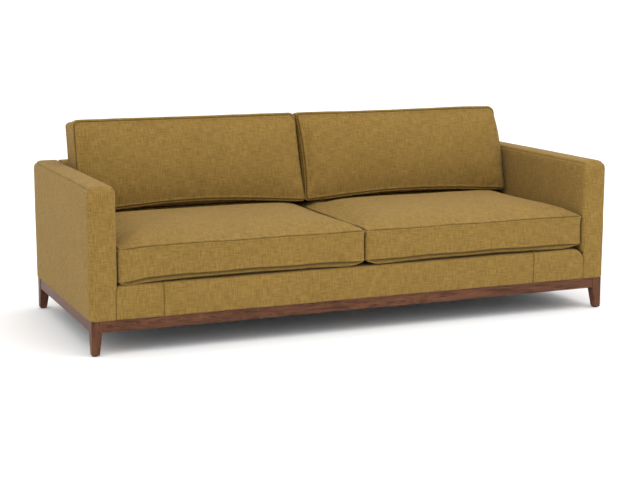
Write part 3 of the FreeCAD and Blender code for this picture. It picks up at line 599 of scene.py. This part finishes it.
def back():
    """The back's upholstery, between the arms."""
    low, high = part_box("back_cover")
    low.z += CLEAR
    size = high - low
    rear_seams = dense_cuts(size.x, BACK_END, 0.0135, BACK_SEAM)
    cuts = (rear_seams, lines(0.0, size.y, 0.01, (ARM_RIM, ARM_RIM + 0.006)))
    heights = lines(HEM + 0.004, size.z - ARM_RIM - 0.003, 0.0125)
    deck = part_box("deck_cloth")[0].z

    def keep(x, y, z):
        front = (y < low.y + 0.004) & (z < deck - 0.006)
        end = (from_ends(x, low.x, high.x) < 0.004) & (y < high.y - REAR_SHOWN)
        return ~(end & (z < high.z - ARM_RIM - 0.01) | front)

    patches = block_patches(low, high, BACK_END, ARM_RIM, cuts, heights, (0.2, 0.2))
    piece = make_piece("back_rest", patches, keep)
    x, y, z = places(piece).T
    from_end = from_ends(x, low.x, high.x)
    rear = high.y - y < 0.006
    from_seam = np.minimum(from_end + ARM_SEAM - BACK_SEAM, high.z - z + 0.004) - ARM_SEAM
    set_seams(piece, np.where(rear, np.abs(from_seam), 1.0))
    # its ends lie in the hollows beside the arms' rounded edges, at the top and behind
    filled = 0.009 * ramp(z, high.z - 0.017, high.z - 0.002)
    filled = np.maximum(filled, 0.0062 * ramp(y, high.y - 0.012, high.y - 0.003))
    move_to(piece, stacked(x + np.sign(x) * filled * ramp(0.02 - from_end, 0.0, 0.02), y, z))
    puff(piece, low, high, amount=0.003, run=0.14)
    ruffle(piece, ((0.0013, 0.19), (0.0005, 0.06)), seed=31)
    sew(piece, PANEL_SEAM)
    thicken(piece, CLOTH)
    return piece


RAIL_ROLL = 0.014  # rounding of the front rail's upper edge
RAIL_SEAMS = (-0.836, 0.773)  # where strips of the front rail's fabric are joined
RAIL_LEFT_END = 0.02  # rounding of the front rail's two top corners
RAIL_RIGHT_END = 0.046
RAIL_REACH = 0.008  # how far its ends press into the arms' padding
RAIL_TUCK = 0.003  # how far its end edges turn in towards the arms
# places of the grid's lines beside the ends and the seams
RAIL_LINES = np.array([0, 0.0012, 0.0025, 0.0045, 0.007, 0.011, 0.016, 0.023, 0.032, 0.042, 0.052])


def front_rail():
    """The fabric over the front rail: a roll from the hem up the front and over the top."""
    low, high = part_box("front_rail_cover")
    low += Vector((-RAIL_REACH, 0, CLEAR))
    high.x += RAIL_REACH
    stops = [low.x, *RAIL_SEAMS, high.x]
    spans = [lines(a, b, 0.012, RAIL_LINES) for a, b in zip(stops[:-1], stops[1:])]
    x = np.unique(np.concatenate(spans).round(7))
    roll_turn = np.radians(np.linspace(0, 90, 9))
    profile = [(low.y + HEM + HEM_TURN, low.z)]
    profile += [
        (low.y + HEM * (1 - math.cos(t)), low.z + HEM * (1 - math.sin(t))) for t in HEM_ANGLES
    ]
    profile += [(low.y, z) for z in np.linspace(low.z + 0.008, high.z - RAIL_ROLL - 0.004, 11)]
    profile += [
        (low.y + RAIL_ROLL * (1 - math.cos(t)), high.z - RAIL_ROLL * (1 - math.sin(t))) for t in roll_turn
    ]
    profile += [(y, high.z) for y in np.linspace(low.y + RAIL_ROLL + 0.006, high.y, 7)]
    profile = np.array(profile)
    px, py = crossed(x, profile[:, 0])
    pz = crossed(x, profile[:, 1])[1]
    drop = np.zeros(len(x))
    for distance, radius in ((x - low.x, RAIL_LEFT_END), (high.x - x, RAIL_RIGHT_END)):
        into = np.clip(radius - distance, 0, radius)
        drop += radius - np.sqrt(radius**2 - into**2)
    share = (pz - low.z) / (high.z - low.z)
    pz = pz - share * drop[:, None]
    end = from_ends(x, low.x, high.x)
    bent = np.clip(RAIL_TUCK - end, 0, RAIL_TUCK)
    turned = RAIL_TUCK - np.sqrt(np.maximum(RAIL_TUCK**2 - bent**2, 0))
    py = py + turned[:, None] * (py < low.y + 0.02)
    run = lengths(profile)
    weave = stacked(*crossed(x, run))
    seam = np.min([np.abs(x - s) for s in RAIL_SEAMS], axis=0)
    seam = np.repeat(seam[:, None], len(profile), axis=1)
    front = (stacked(px, py, pz), weave, seam)
    ends = []
    for k, flip in ((0, 1), (-1, -1)):
        edge = stacked(px[k], py[k], pz[k])
        inward = edge.copy()
        inward[:, 1] = np.maximum(inward[:, 1], low.y + 0.03)
        inward[:, 2] = np.minimum(inward[:, 2], pz[k].max() - 0.02)
        strip = np.stack([edge, inward][::flip], axis=0)
        ends.append((strip, strip[..., 1:], np.ones(strip.shape[:2])))
    piece = make_piece("front_rail", [front, *ends])
    x, y, z = places(piece).T
    out = 0.0022 * ramp(z - low.z, 0.0, 0.05) * ramp(high.z - z, 0.0, 0.05)
    out = out * ramp(from_ends(x, low.x, high.x), 0.004, 0.08) * (y < low.y + 0.02)
    move_to(piece, stacked(x, y - out, z))
    ruffle(piece, ((0.001, 0.15), (0.0004, 0.05)), seed=41)
    sew(piece, 0.6)
    thicken(piece, CLOTH)
    return piece


# ---- loose cushions
class Cushion:
    """A boxed cushion in its own frame: a across, b along, h out of its face, all from the low corner.

    corners holds the plan's rounding at (low a, low b), (high a, low b), (low a, high b), (high a, high b).
    Each crown is (rise, run along a, run along b, roundness of its edge).
    """

    def __init__(self, size, corners, crowns, lip):
        self.size = size
        self.corners = corners
        self.crowns = crowns
        self.lip = lip

    def lines(self, near, step, border_extra=()):
        a, b, t = self.size
        border = lines(0.0, t, step, near)
        border = np.unique(np.append(border, border_extra))
        return lines(0.0, a, step, near), lines(0.0, b, step, near), border

    def plan(self, a, b):
        """The plan with its corners rounded."""
        out = []
        quarter = (a > self.size[0] / 2).astype(int) + 2 * (b > self.size[1] / 2)
        corner = np.array(self.corners)[quarter]
        half = [self.size[k] / 2 - corner for k in (0, 1)]
        centred = [v - self.size[k] / 2 for k, v in enumerate((a, b))]
        far = [np.clip((np.abs(centred[k]) - half[k]) / corner, 0, 1) for k in (0, 1)]
        for k in (0, 1):
            bent = half[k] + corner * far[k] * np.sqrt(1 - far[1 - k] ** 2 / 2)
            out.append(self.size[k] / 2 + np.where(far[k] > 0, np.sign(centred[k]) * bent, centred[k]))
        return out

    def face(self, la, lb, top):
        rise, run_a, run_b, edge = self.crowns[0 if top else 1]
        a, b = crossed(la, lb)
        from_a = from_ends(a, 0, self.size[0])
        from_b = from_ends(b, 0, self.size[1])
        t = np.clip(smooth_min(from_a / run_a, from_b / run_b, 0.35), 0, 1)
        crown = rise * (1 - (1 - t) ** 2.3) ** edge
        pa, pb = self.plan(a, b)
        h = self.size[2] + crown if top else -crown
        points = stacked(pa, pb, h)
        weave = stacked(a, b)
        seam = np.minimum(from_a, from_b)
        if not top:
            points, weave, seam = points[::-1], weave[::-1], seam[::-1]
        return points, weave, seam

    def border(self, la, lb, lh):
        loop = (
            [(0.0, b) for b in lb[::-1]] + [(a, 0.0) for a in la[1:]]
            + [(self.size[0], b) for b in lb[1:]] + [(a, self.size[1]) for a in la[::-1][1:]]
        )
        loop = np.array(loop)
        run = lengths(loop)
        plan = np.stack(self.plan(loop[:, 0], loop[:, 1]), axis=-1)
        inset = max(self.corners)
        out = plan - np.clip(plan, inset, np.array(self.size[:2]) - inset)
        out = out / np.linalg.norm(out, axis=1, keepdims=True)
        # beside each seam the border swells out into a lip
        near = np.clip(from_ends(lh, 0, self.size[2]) / 0.0075, 0, 1)
        lip = self.lip * (1 - (1 - near) ** 2)
        hanging = (1 + 0.8 * np.minimum(out[:, 1], 0))[:, None, None]
        plan = plan[:, None] + out[:, None] * lip[None, :, None] * hanging
        points = np.concatenate([plan, np.repeat(lh[None, :, None], len(loop), 0)], axis=-1)
        weave = stacked(*crossed(run, lh))
        seam = np.repeat(from_ends(lh, 0, self.size[2])[None], len(loop), 0)
        return (points, weave, seam), run

    def patches(self, la, lb, lh):
        """The three patches in the cushion's frame, and the line places of each."""
        border, run = self.border(la, lb, lh)
        far = self.size[0] - la[::-1]
        return (
            [self.face(la, lb, True), border, self.face(la, lb, False)],
            [(la, lb), (run, lh), (far, lb)],
        )


def swell(piece, held, pressure, growth):
    """Blender's cloth simulation, from the inside pressure alone. Returns how far each point moved."""
    group = piece.vertex_groups.new(name="held")
    group.add([int(v) for v in np.flatnonzero(held)], 1.0, "REPLACE")
    before = places(piece)
    cloth = piece.modifiers.new("swell", "CLOTH")
    settings = dict(
        quality=6, mass=0.25, tension_stiffness=18, compression_stiffness=18, shear_stiffness=6,
        bending_stiffness=1.2, air_damping=3, use_pressure=True, uniform_pressure_force=pressure,
        shrink_min=-growth, vertex_group_mass="held",
    )
    for setting, value in settings.items():
        setattr(cloth.settings, setting, value)
    cloth.settings.effector_weights.gravity = 0
    cloth.point_cache.frame_start = 1
    cloth.point_cache.frame_end = SWELL_FRAMES
    scene = bpy.context.scene
    for k in range(1, SWELL_FRAMES + 1):
        scene.frame_set(k)
    after = places(piece.evaluated_get(bpy.context.evaluated_depsgraph_get()))
    piece.modifiers.remove(cloth)
    scene.frame_set(1)
    return after - before


def simulated(cushion, cap, pressure, growth):
    """The cushion's swelling on a coarse mesh, as one grid of moves for each patch with its lines.

    No point moves further than the cap.
    """
    patches, places_of = cushion.patches(*cushion.lines(NEAR_COARSE, COARSE_STEP))
    points, _, seam, faces = joined(patches)
    keys, index = np.unique(points.round(6), axis=0, return_inverse=True)
    index = index.ravel()
    mesh = bpy.data.meshes.new("swelling")
    mesh.from_pydata(keys.tolist(), [], index[faces].tolist())
    piece = added("swelling", mesh)
    held = np.zeros(len(keys), bool)
    held[index[seam < 1e-6]] = True
    moved = swell(piece, held, pressure, growth)
    bpy.data.objects.remove(piece)
    far = np.linalg.norm(moved, axis=1)
    moved *= (cap * np.tanh(far / cap) / np.maximum(far, 1e-9))[:, None]
    grids, start = [], 0
    for patch in patches:
        count = patch[2].size
        grids.append(moved[index[start:start + count]].reshape(patch[0].shape))
        start += count
    return grids, places_of


def cushion_piece(name, cushion, moves, shape, step, border_extra=()):
    """The fine cushion: its own shape, the simulated swelling, and then shape(a, b, h, patch number)."""
    patches, places_of = cushion.patches(*cushion.lines(NEAR_SEAM, step, border_extra))
    made = []
    for k, (points, weave, seam) in enumerate(patches):
        if moves is not None:
            points = points + refined(moves[0][k], moves[1][k], places_of[k])
        shaped = shape(*points.reshape(-1, 3).T, k)
        made.append((shaped.reshape(points.shape), weave, seam))
    return make_piece(name, made)


BORDER, UNDER = 1, 2  # numbers of a cushion's patches; the top is 0
ZIP_HALF = 0.0081  # half the width of a zip's groove
# places of the border's grid lines round the groove, from the border's middle
ZIP_LINES = np.array([-0.0125, -0.0097, -0.0089, -0.0081, -0.0065, 0, 0.0065, 0.0081, 0.0089, 0.0097, 0.0125])
SEAT_BORDER_LOW = 0.0195  # above the cushion's underside
SEAT_BORDER_HIGH = 0.1425
# how far the underside's rise reaches from a cushion's left and right end
SEAT_END_RISE = {"left": (0.045, 0.07), "right": (0.06, 0.11)}
SEAT_SAG = {"left": 0.0125, "right": 0.0}  # of the seams at the front left corner
SEAT_CROWN = 0.0165  # how far the crown stands above the CAD cushion, in front of the back cushions
SEAT_DENT = 0.011  # depth of the valley along the back cushion's foot


def groove(low, high, x, across, axis):
    """1 in the groove round the zip with this box, falling to 0 at the groove's lips."""
    middle, end, lip = (low + high) / 2, 0.006, 0.0016
    inside = ramp((high.x - low.x) / 2 + end - np.abs(x - middle.x), 0.0, end)
    return inside * ramp(ZIP_HALF + lip - np.abs(across - middle[axis]), 0, lip)


def between_sides(a, width):
    """Keeps a cushion's sides clear of the arm and of the other cushion."""
    return -soft_limit(-soft_limit(a, width + 0.0015, 0.0006), 0.0015, 0.0006)


def seat_cushion(side, moves, seed):
    """One seat cushion, its simulated swelling held between the deck, the arm and the back cushion."""
    low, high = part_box(f"{side}_seat_cushion_cover")
    zip_low, zip_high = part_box(f"{side}_seat_cushion_zip")
    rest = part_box(f"{side}_back_cushion_cover")[0]
    width, length, thick = SEAT.size

    def shape(a, b, h, patch):
        a = between_sides(a, width)
        # the front swells a little
        b = soft_limit(-soft_limit(-b, 0.0045, 0.0015), length + 0.0012, 0.0006)
        # the lower seam bows up between its corners
        bow = np.sin(np.pi * np.clip(a / width, 0, 1)) ** 0.6 * 0.0065 + 0.0012 * np.sin(a * 21 + seed)
        bow = bow * ramp(0.6 * length - b, 0.0, 0.2)
        h = h + bow * np.where(h > 0, np.clip(1 - h / thick, 0, 1) ** 1.5, np.clip(1 + h / 0.02, 0, 1))
        # the underside rises to its seam towards the cushion's ends
        near_end = np.minimum(a / SEAT_END_RISE[side][0], (width - a) / SEAT_END_RISE[side][1])
        h = np.where(h < 0, h * (1 - (1 - np.clip(near_end, 0, 1)) ** 2), h)
        x, y, z = low.x + CUSHION_INSET + a, low.y + b, low.z + SEAT_BORDER_LOW + h
        wave = 0.0009 * np.sin(a * 17 + seed) * ramp(h, 0.5 * thick, thick)
        sag = SEAT_SAG[side] * ramp(0.12 - a, 0.0, 0.12) * ramp(0.25 - b, 0.0, 0.2)
        z = z + wave - sag * (1 - 0.45 * np.clip(h / thick, 0, 1))
        # in front of the back cushion the crown falls away, and under it the top is pressed flat
        under_back = ramp(y, rest.y - 0.075, rest.y + 0.004)
        dent = ramp(y, rest.y - 0.045, rest.y + 0.012) * ramp(-y, -rest.y - 0.085, -rest.y - 0.045)
        top = high.z + SEAT_CROWN - (SEAT_CROWN + 0.0004) * under_back - SEAT_DENT * dent
        z = soft_limit(z, top, 0.003)
        z = -soft_limit(-z, -(low.z + CLEAR), 0.0012)
        if patch == BORDER:
            cut = groove(zip_low, zip_high, x, z, 2) * (y > high.y - 0.03)
            y = y + (zip_low.y - CLEAR - y) * cut
        return stacked(x, y, z)

    def resting(x, y, z):
        under_back = (z > rest.z - 0.004) & (y > rest.y - 0.02)
        at_zip = (y > high.y - 0.012) & (np.abs(z - zip_low.z - 0.007) < 0.02)
        return (z < low.z + 0.003) | under_back | at_zip

    name = f"{side}_seat_cushion_top"
    piece = cushion_piece(name, SEAT, moves, shape, FINE_STEP, thick / 2 + ZIP_LINES)
    before = places(piece)
    ruffle(piece, ((0.0014, 0.17), (0.0006, 0.06)), seed)
    settle(piece, before, resting)
    sew(piece)
    return piece


def cloth_sheet(name, low, high, level, step, thickness):
    """A level sheet of cloth between two corners, at a level for each of its points."""
    x, y = lines(low.x, high.x, step), lines(low.y, high.y, step)
    px, py = crossed(x, y)
    points = stacked(px, py, level(px, py))
    piece = make_piece(name, [(points, stacked(px, py), np.ones(px.shape))])
    thicken(piece, thickness)
    return piece


def deck_pad():
    """The pad over the springs: flat above, and slightly moulded by the springs below."""
    low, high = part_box("deck_pad")
    size = (high.x - low.x, high.y - low.y, high.z - low.z - 0.0015)
    crowns = ((0.001, 0.03, 0.03, 1.0), (0.0005, 0.03, 0.03, 1.0))
    pad = Cushion(size, (0.006,) * 4, crowns, lip=0.0)

    def shape(a, b, h, patch):
        x, y = low.x + a, low.y + b
        ribs = np.cos(2 * np.pi * x / DECK_RIB)
        bottom = 0.0004 * (1 + ribs) * (patch == UNDER)
        return stacked(x, y, low.z + 0.0005 + h + bottom)

    return cushion_piece("deck_padding", pad, None, shape, 0.022)


def deck_cloth():
    """The cloth over the pad, with a faint ripple."""
    low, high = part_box("deck_cloth")

    def level(x, y):
        return high.z - 0.0004 - 0.0003 * (1 + np.sin(9 * x + 2 * np.sin(7 * y)))

    return cloth_sheet("seat_deck_cloth", low, high, level, 0.02, 0.0012)


def dust_cloth():
    """The black cloth under the frame, which hangs a little between the rails it's stapled to."""
    low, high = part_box("dust_cover")
    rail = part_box("centre_base_rail")[1].x
    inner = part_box("left_base_rail")[1].x

    def level(x, y):
        across = np.clip((np.abs(x) - rail) / (-inner - rail), 0, 1)
        along = np.clip(np.abs(y) / (high.y - 0.03), 0, 1)
        return high.z - CLEAR - DUST_SAG * np.sin(np.pi * across) * (1 - along**2)

    return cloth_sheet("bottom_cloth", low, high, level, 0.022, 0.0008)


def back_straps():
    """Elastic straps up the inside of the back, from the lower rail to the top one."""
    low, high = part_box("back_webbing")
    pitch = (high.x - low.x - STRAP) / (STRAPS - 1)
    patches = []
    across = np.linspace(0, STRAP, 7)
    up = np.linspace(low.z, high.z, 40)
    for k in range(STRAPS):
        px, pz = crossed(low.x + k * pitch + across, up)
        ripple = 0.00025 * np.sin(2 * np.pi * (px - low.x) / 0.0125)
        patches.append((
            stacked(px, low.y + CLEAR + ripple + 0 * pz, pz),
            stacked(px, pz),
            np.ones(px.shape),
        ))
    piece = make_piece("back_straps", patches)
    thicken(piece, 0.0009)
    return piece


def settle(piece, before, flat):
    """Puts back the points that flat(x, y, z) says rest on something."""
    now = places(piece)
    still = flat(*before.T)
    now[still] = before[still]
    move_to(piece, now)


BACK_LEAN = math.radians(10.5)
BACK_FOOT_Y = 0.1595  # of the front panel's lower seam
BACK_FOOT = 0.0035  # the front seam's height above the cushion's underside, at its ends
BACK_FOOT_BOW = {"left": 0.0285, "right": 0.0235}  # how much higher it is midway
BACK_FOOT_STRIP = 0.0045  # how much of that the border covers at once; the rest falls away to the rear
BACK_ROLL = 0.0065  # height of the roll behind the top seam
BACK_THICK = 0.135
BACK_HEIGHT = 0.3753  # between the front panel's lower and upper seams, along the lean
BACK_CORNERS = {"left": (0.016, 0.02, 0.026, 0.034), "right": (0.016, 0.016, 0.016, 0.034)}
# how far the two ends of a cushion's top and foot stand to the side of the CAD cushion's
BACK_TOP_SHIFT = {"left": (0.0, -0.024), "right": (-0.018, -0.038)}
BACK_FOOT_SHIFT = {"left": (0.0, 0.0), "right": (0.001, -0.016)}
BACK_FILLS_OUT = {"left": 0.0, "right": 1.1}  # how much of that is made up behind the seam, on the right


def back_cushion(side, moves, seed):
    """One back cushion, leaning, with its underside flat on the seat cushion."""
    low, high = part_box(f"{side}_back_cushion_cover")
    zip_low, zip_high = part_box(f"{side}_back_cushion_zip")
    cushion = BACK[side]
    width, tall, thick = cushion.size
    inner_is_low = side == "right"

    def shape(a, b, h, patch):
        a = between_sides(a, width)
        b = soft_limit(b, tall + 0.004, 0.0008)
        # towards the other cushion the border is drawn in, in upright folds
        inner = a if inner_is_low else width - a
        height = np.clip(b / tall, 0, 1)
        across = np.clip(a / width, 0, 1)
        depth = np.clip((thick - h) / thick, 0, 1)
        deep = ramp(depth, 0.03, 0.16)
        leaning = height**1.5
        for share, shift in ((1 - leaning, BACK_FOOT_SHIFT[side]), (leaning, BACK_TOP_SHIFT[side])):
            at_high = shift[1] * (1 - BACK_FILLS_OUT[side] * deep * (1 - height**3))
            a = a + share * (shift[0] * (1 - across) + at_high * across)
        drawn = np.sin(np.pi * height) ** 0.8
        folds = np.sin(depth * 38 + 1.6 * np.sin(height * 4 + seed) + seed) * np.sin(np.pi * depth) ** 0.5
        pull = drawn * (0.0095 - 0.0065 * deep * (1 + 0.55 * folds)) * ramp(0.05 - inner, 0, 0.05)
        a = a + np.where(inner_is_low, pull, -pull)
        # behind the top seam the border stands up in a roll
        b = b + BACK_ROLL * ramp(b, tall - 0.05, tall) * ramp(depth, 0.0, 0.1)
        d = thick - h
        bow = BACK_FOOT + BACK_FOOT_BOW[side] * (4 * across * (1 - across)) ** 1.3
        strip = np.minimum(BACK_FOOT_STRIP, bow)
        left_up = strip * ramp(-d, -0.007, 0.0) + (bow - strip) * ramp(-d, -0.085, -0.03)
        rise = b + (1 - height) * (d * math.tan(BACK_LEAN) + left_up / math.cos(BACK_LEAN))
        x = low.x + a
        y = BACK_FOOT_Y + rise * math.sin(BACK_LEAN) + d * math.cos(BACK_LEAN)
        z = low.z + rise * math.cos(BACK_LEAN) - d * math.sin(BACK_LEAN)
        z = -soft_limit(-z, -(low.z + 0.0004), 0.0015)
        if patch == BORDER:
            cut = groove(zip_low, zip_high, x, y, 1) * (z < low.z + 0.03)
            z = z + (zip_high.z + CLEAR - z) * cut
        return stacked(x, y, z)

    name = f"{side}_back_cushion_soft"
    piece = cushion_piece(name, cushion, moves, shape, FINE_STEP, thick / 2 + ZIP_LINES)
    before = places(piece)
    ruffle(piece, ((0.0022, 0.19), (0.0008, 0.07)), seed)
    settle(piece, before, lambda x, y, z: z < low.z + 0.003)
    sew(piece, 1.1)
    return piece


# ---- make everything
def build_camera():
    data = bpy.data.cameras.new("camera")
    data.sensor_width = 36.0
    data.lens = LENS_MM
    data.clip_start, data.clip_end = 0.05, 200.0
    yaw, pitch, roll = (math.radians(v) for v in (CAMERA_YAW, CAMERA_PITCH, CAMERA_ROLL))
    forward = Vector((math.sin(yaw) * math.cos(pitch), math.cos(yaw) * math.cos(pitch), -math.sin(pitch)))
    right = Vector((math.cos(yaw), -math.sin(yaw), 0))
    up = right.cross(forward)
    turned_right = right * math.cos(roll) + up * math.sin(roll)
    turned_up = up * math.cos(roll) - right * math.sin(roll)
    eye = added("camera", data)
    columns = Matrix((turned_right, turned_up, -forward)).transposed()
    eye.matrix_world = Matrix.Translation(CAMERA_PLACE) @ columns.to_4x4()
    bpy.context.scene.camera = eye


def build_stage():
    world = bpy.data.worlds.new("sky")
    world.use_nodes = True
    sky = world.node_tree.nodes["Background"]
    sky.inputs["Color"].default_value = (1, 1, 1, 1)
    sky.inputs["Strength"].default_value = SKY
    bpy.context.scene.world = world
    bpy.context.scene.view_settings.view_transform = "Standard"
    half = FLOOR_SIZE / 2
    mesh = bpy.data.meshes.new("floor")
    corners = [(-half, -half, 0), (half, -half, 0), (half, half, 0), (-half, half, 0)]
    mesh.from_pydata(corners, [], [(0, 1, 2, 3)])
    floor = added("floor", mesh)
    white = Material("floor", 1.0, specular_ior_level=0.0)
    white.colour(white.blend(white.noise(white.where, 3), (0.93, 0.93, 0.93), (0.95, 0.95, 0.95)))
    mesh.materials.append(white.material)
    lamp = bpy.data.lights.new("top_light", "AREA")
    lamp.shape = "RECTANGLE"
    lamp.size, lamp.size_y = TOP_LIGHT_SIZE
    lamp.energy = TOP_LIGHT_WATTS
    light = added("top_light", lamp)
    light.location = TOP_LIGHT_PLACE
    aim = Vector(TOP_LIGHT_AIM) - light.location
    light.rotation_euler = aim.to_track_quat("-Z", "Y").to_euler()


def dress(piece, body, slot, material, stands_for):
    """Gives a piece its material, parents it to the body that carries it, and hides the CAD nodes it stands
    for.
    """
    piece.data.materials.append(material)
    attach(piece, body)
    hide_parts(*stands_for)
    return piece


def upholster(piece, body, stands_for):
    """Dresses a padded piece in the sofa's fabric."""
    dress(piece, body, "mustard_fabric", mustard, stands_for)


def spread(piece, slot, material, node, rests_on, flat=None):
    """Dresses a sheet that lies stretched in the place of a CAD node."""
    dress(piece, "sofa_frame", slot, material, (node,))
    low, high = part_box(node)
    flat or (high.x - low.x, high.y - low.y)
    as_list(rests_on)


def paint(node, material):
    mesh = nodes[node].data
    mesh.materials.clear()
    mesh.materials.append(material)


def seat_frame():
    low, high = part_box("right_seat_cushion_cover")
    size = (high.x - low.x - 2 * CUSHION_INSET, high.y - low.y, SEAT_BORDER_HIGH - SEAT_BORDER_LOW)
    crowns = ((0.034, 0.11, 0.125, 1.0), (0.0225, 0.11, 0.03, 0.55))
    return Cushion(size, (SEAT_CORNER,) * 4, crowns, lip=0.0015)


def back_frame(side):
    low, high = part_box(f"{side}_back_cushion_cover")
    size = (high.x - low.x, BACK_HEIGHT, BACK_THICK)
    crowns = ((0.02, 0.13, 0.12, 1.0), (0.012, 0.1, 0.1, 1.0))
    return Cushion(size, BACK_CORNERS[side], crowns, lip=0.0065)


SEAT = seat_frame()
BACK = {side: back_frame(side) for side in ("left", "right")}

build_camera()
build_stage()

mustard = fabric("mustard_fabric", MUSTARD)
for side in ("left", "right"):
    upholster(arm(side), "sofa_frame", (f"{side}_arm_cover", f"{side}_arm_padding"))
upholster(back(), "sofa_frame", ("back_cover", "back_padding"))
upholster(front_rail(), "sofa_frame", ("front_rail_cover", "front_rail_padding"))

seat_moves = simulated(SEAT, cap=0.024, pressure=4.0, growth=0.003)
for side, seed in (("left", 3), ("right", 8)):
    seat = f"{side}_seat_cushion"
    piece = seat_cushion(side, seat_moves, seed)
    upholster(piece, seat, (f"{seat}_cover", f"{seat}_foam"))
    back_moves = simulated(BACK[side], cap=0.026, pressure=4.0, growth=0.006)
    loose = f"{side}_back_cushion"
    piece = back_cushion(side, back_moves, seed + 1)
    upholster(piece, loose, (f"{loose}_cover", f"{loose}_fill"))

wadding = speckled("padding", (0.6, 0.58, 0.54), (0.78, 0.76, 0.72), 0.004, 0.95, 0.001)
deck = dress(deck_pad(), "sofa_frame", "padding", wadding, ("deck_pad",))
brown = woven("deck_cloth", (0.04, 0.034, 0.028), (0.085, 0.074, 0.062), 0.0014)
spread(deck_cloth(), "deck_cloth", brown, "deck_cloth", [deck])
black = woven("dust_cloth", (0.01, 0.01, 0.011), (0.03, 0.03, 0.032), 0.0012)
seat_rails = ["seat_front_rail", "seat_rear_rail", "seat_left_rail", "seat_right_rail"]
spread(dust_cloth(), "dust_cloth", black, "dust_cover", seat_rails)
elastic = woven("webbing", (0.03, 0.024, 0.02), (0.3, 0.26, 0.2), 0.0022)
strap_low, strap_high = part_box("back_webbing")
straps_flat = (STRAP, STRAPS * (strap_high.z - strap_low.z))
back_rails = ["back_tack_rail", "back_top_rail"]
spread(back_straps(), "webbing", elastic, "back_webbing", back_rails, straps_flat)

walnut = [wood(f"walnut_{'xyz'[k]}", WALNUT, k) for k in range(3)]
pine = [wood(f"frame_wood_{'xyz'[k]}", (0.55, 0.38, 0.2), k, spread=0.18, coat=0.0) for k in range(3)]
# wooden nodes with their grain along X, along Y and along Z
SHOWN_WOOD = (
    ("front_base_rail", "rear_base_rail"),
    ("left_base_rail", "right_base_rail", "centre_base_rail"),
    ("front_left_leg", "front_right_leg", "rear_left_leg", "rear_right_leg", "centre_support_leg"),
)
FRAME_WOOD = (
    ("seat_front_rail", "seat_rear_rail", "back_top_rail", "back_tack_rail", "back_bottom_rail",
     "corner_blocks"),
    ("seat_left_rail", "seat_right_rail", "seat_centre_brace", "left_arm_top_rail", "right_arm_top_rail",
     "arm_tack_rails"),
    ("left_arm_front_post", "right_arm_front_post", "left_arm_rear_post", "right_arm_rear_post",
     "back_uprights"),
)
for woods, named in ((walnut, SHOWN_WOOD), (pine, FRAME_WOOD)):
    for wooden, group in zip(woods, named):
        for node in group:
            paint(node, wooden)
for node, name, dark, light, grain, roughness, metallic in (
    ("frame_panels", "hardboard", (0.16, 0.09, 0.045), (0.26, 0.16, 0.085), 0.002, 0.75, 0.0),
    ("seat_springs", "spring_steel", (0.1, 0.1, 0.11), (0.22, 0.22, 0.24), 0.006, 0.35, 1.0),
    ("frame_bolts", "bolt_steel", (0.45, 0.44, 0.42), (0.62, 0.61, 0.58), 0.003, 0.32, 1.0),
    ("spring_clips", "clip_plastic", (0.62, 0.62, 0.6), (0.72, 0.72, 0.7), 0.004, 0.45, 0.0),
    ("leg_glides", "glide_plastic", (0.015, 0.015, 0.016), (0.035, 0.035, 0.036), 0.003, 0.4, 0.0),
):
    paint(node, speckled(name, dark, light, grain, roughness, metallic=metallic))
brass = speckled("zip_metal", (0.36, 0.26, 0.1), (0.52, 0.4, 0.18), 0.001, 0.3, metallic=1.0)
for side in ("left", "right"):
    for row, axis in (("seat", 2), ("back", 1)):
        node = f"{side}_{row}_cushion_zip"
        zip_low, zip_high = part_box(node)
        middle = nodes[node].matrix_world.inverted() @ ((zip_low + zip_high) / 2)
        paint(node, zip_cloth(f"{side}_{row}_zip_tape", MUSTARD, axis, middle[axis]))
        paint(f"{side}_{row}_cushion_zip_slider", brass)
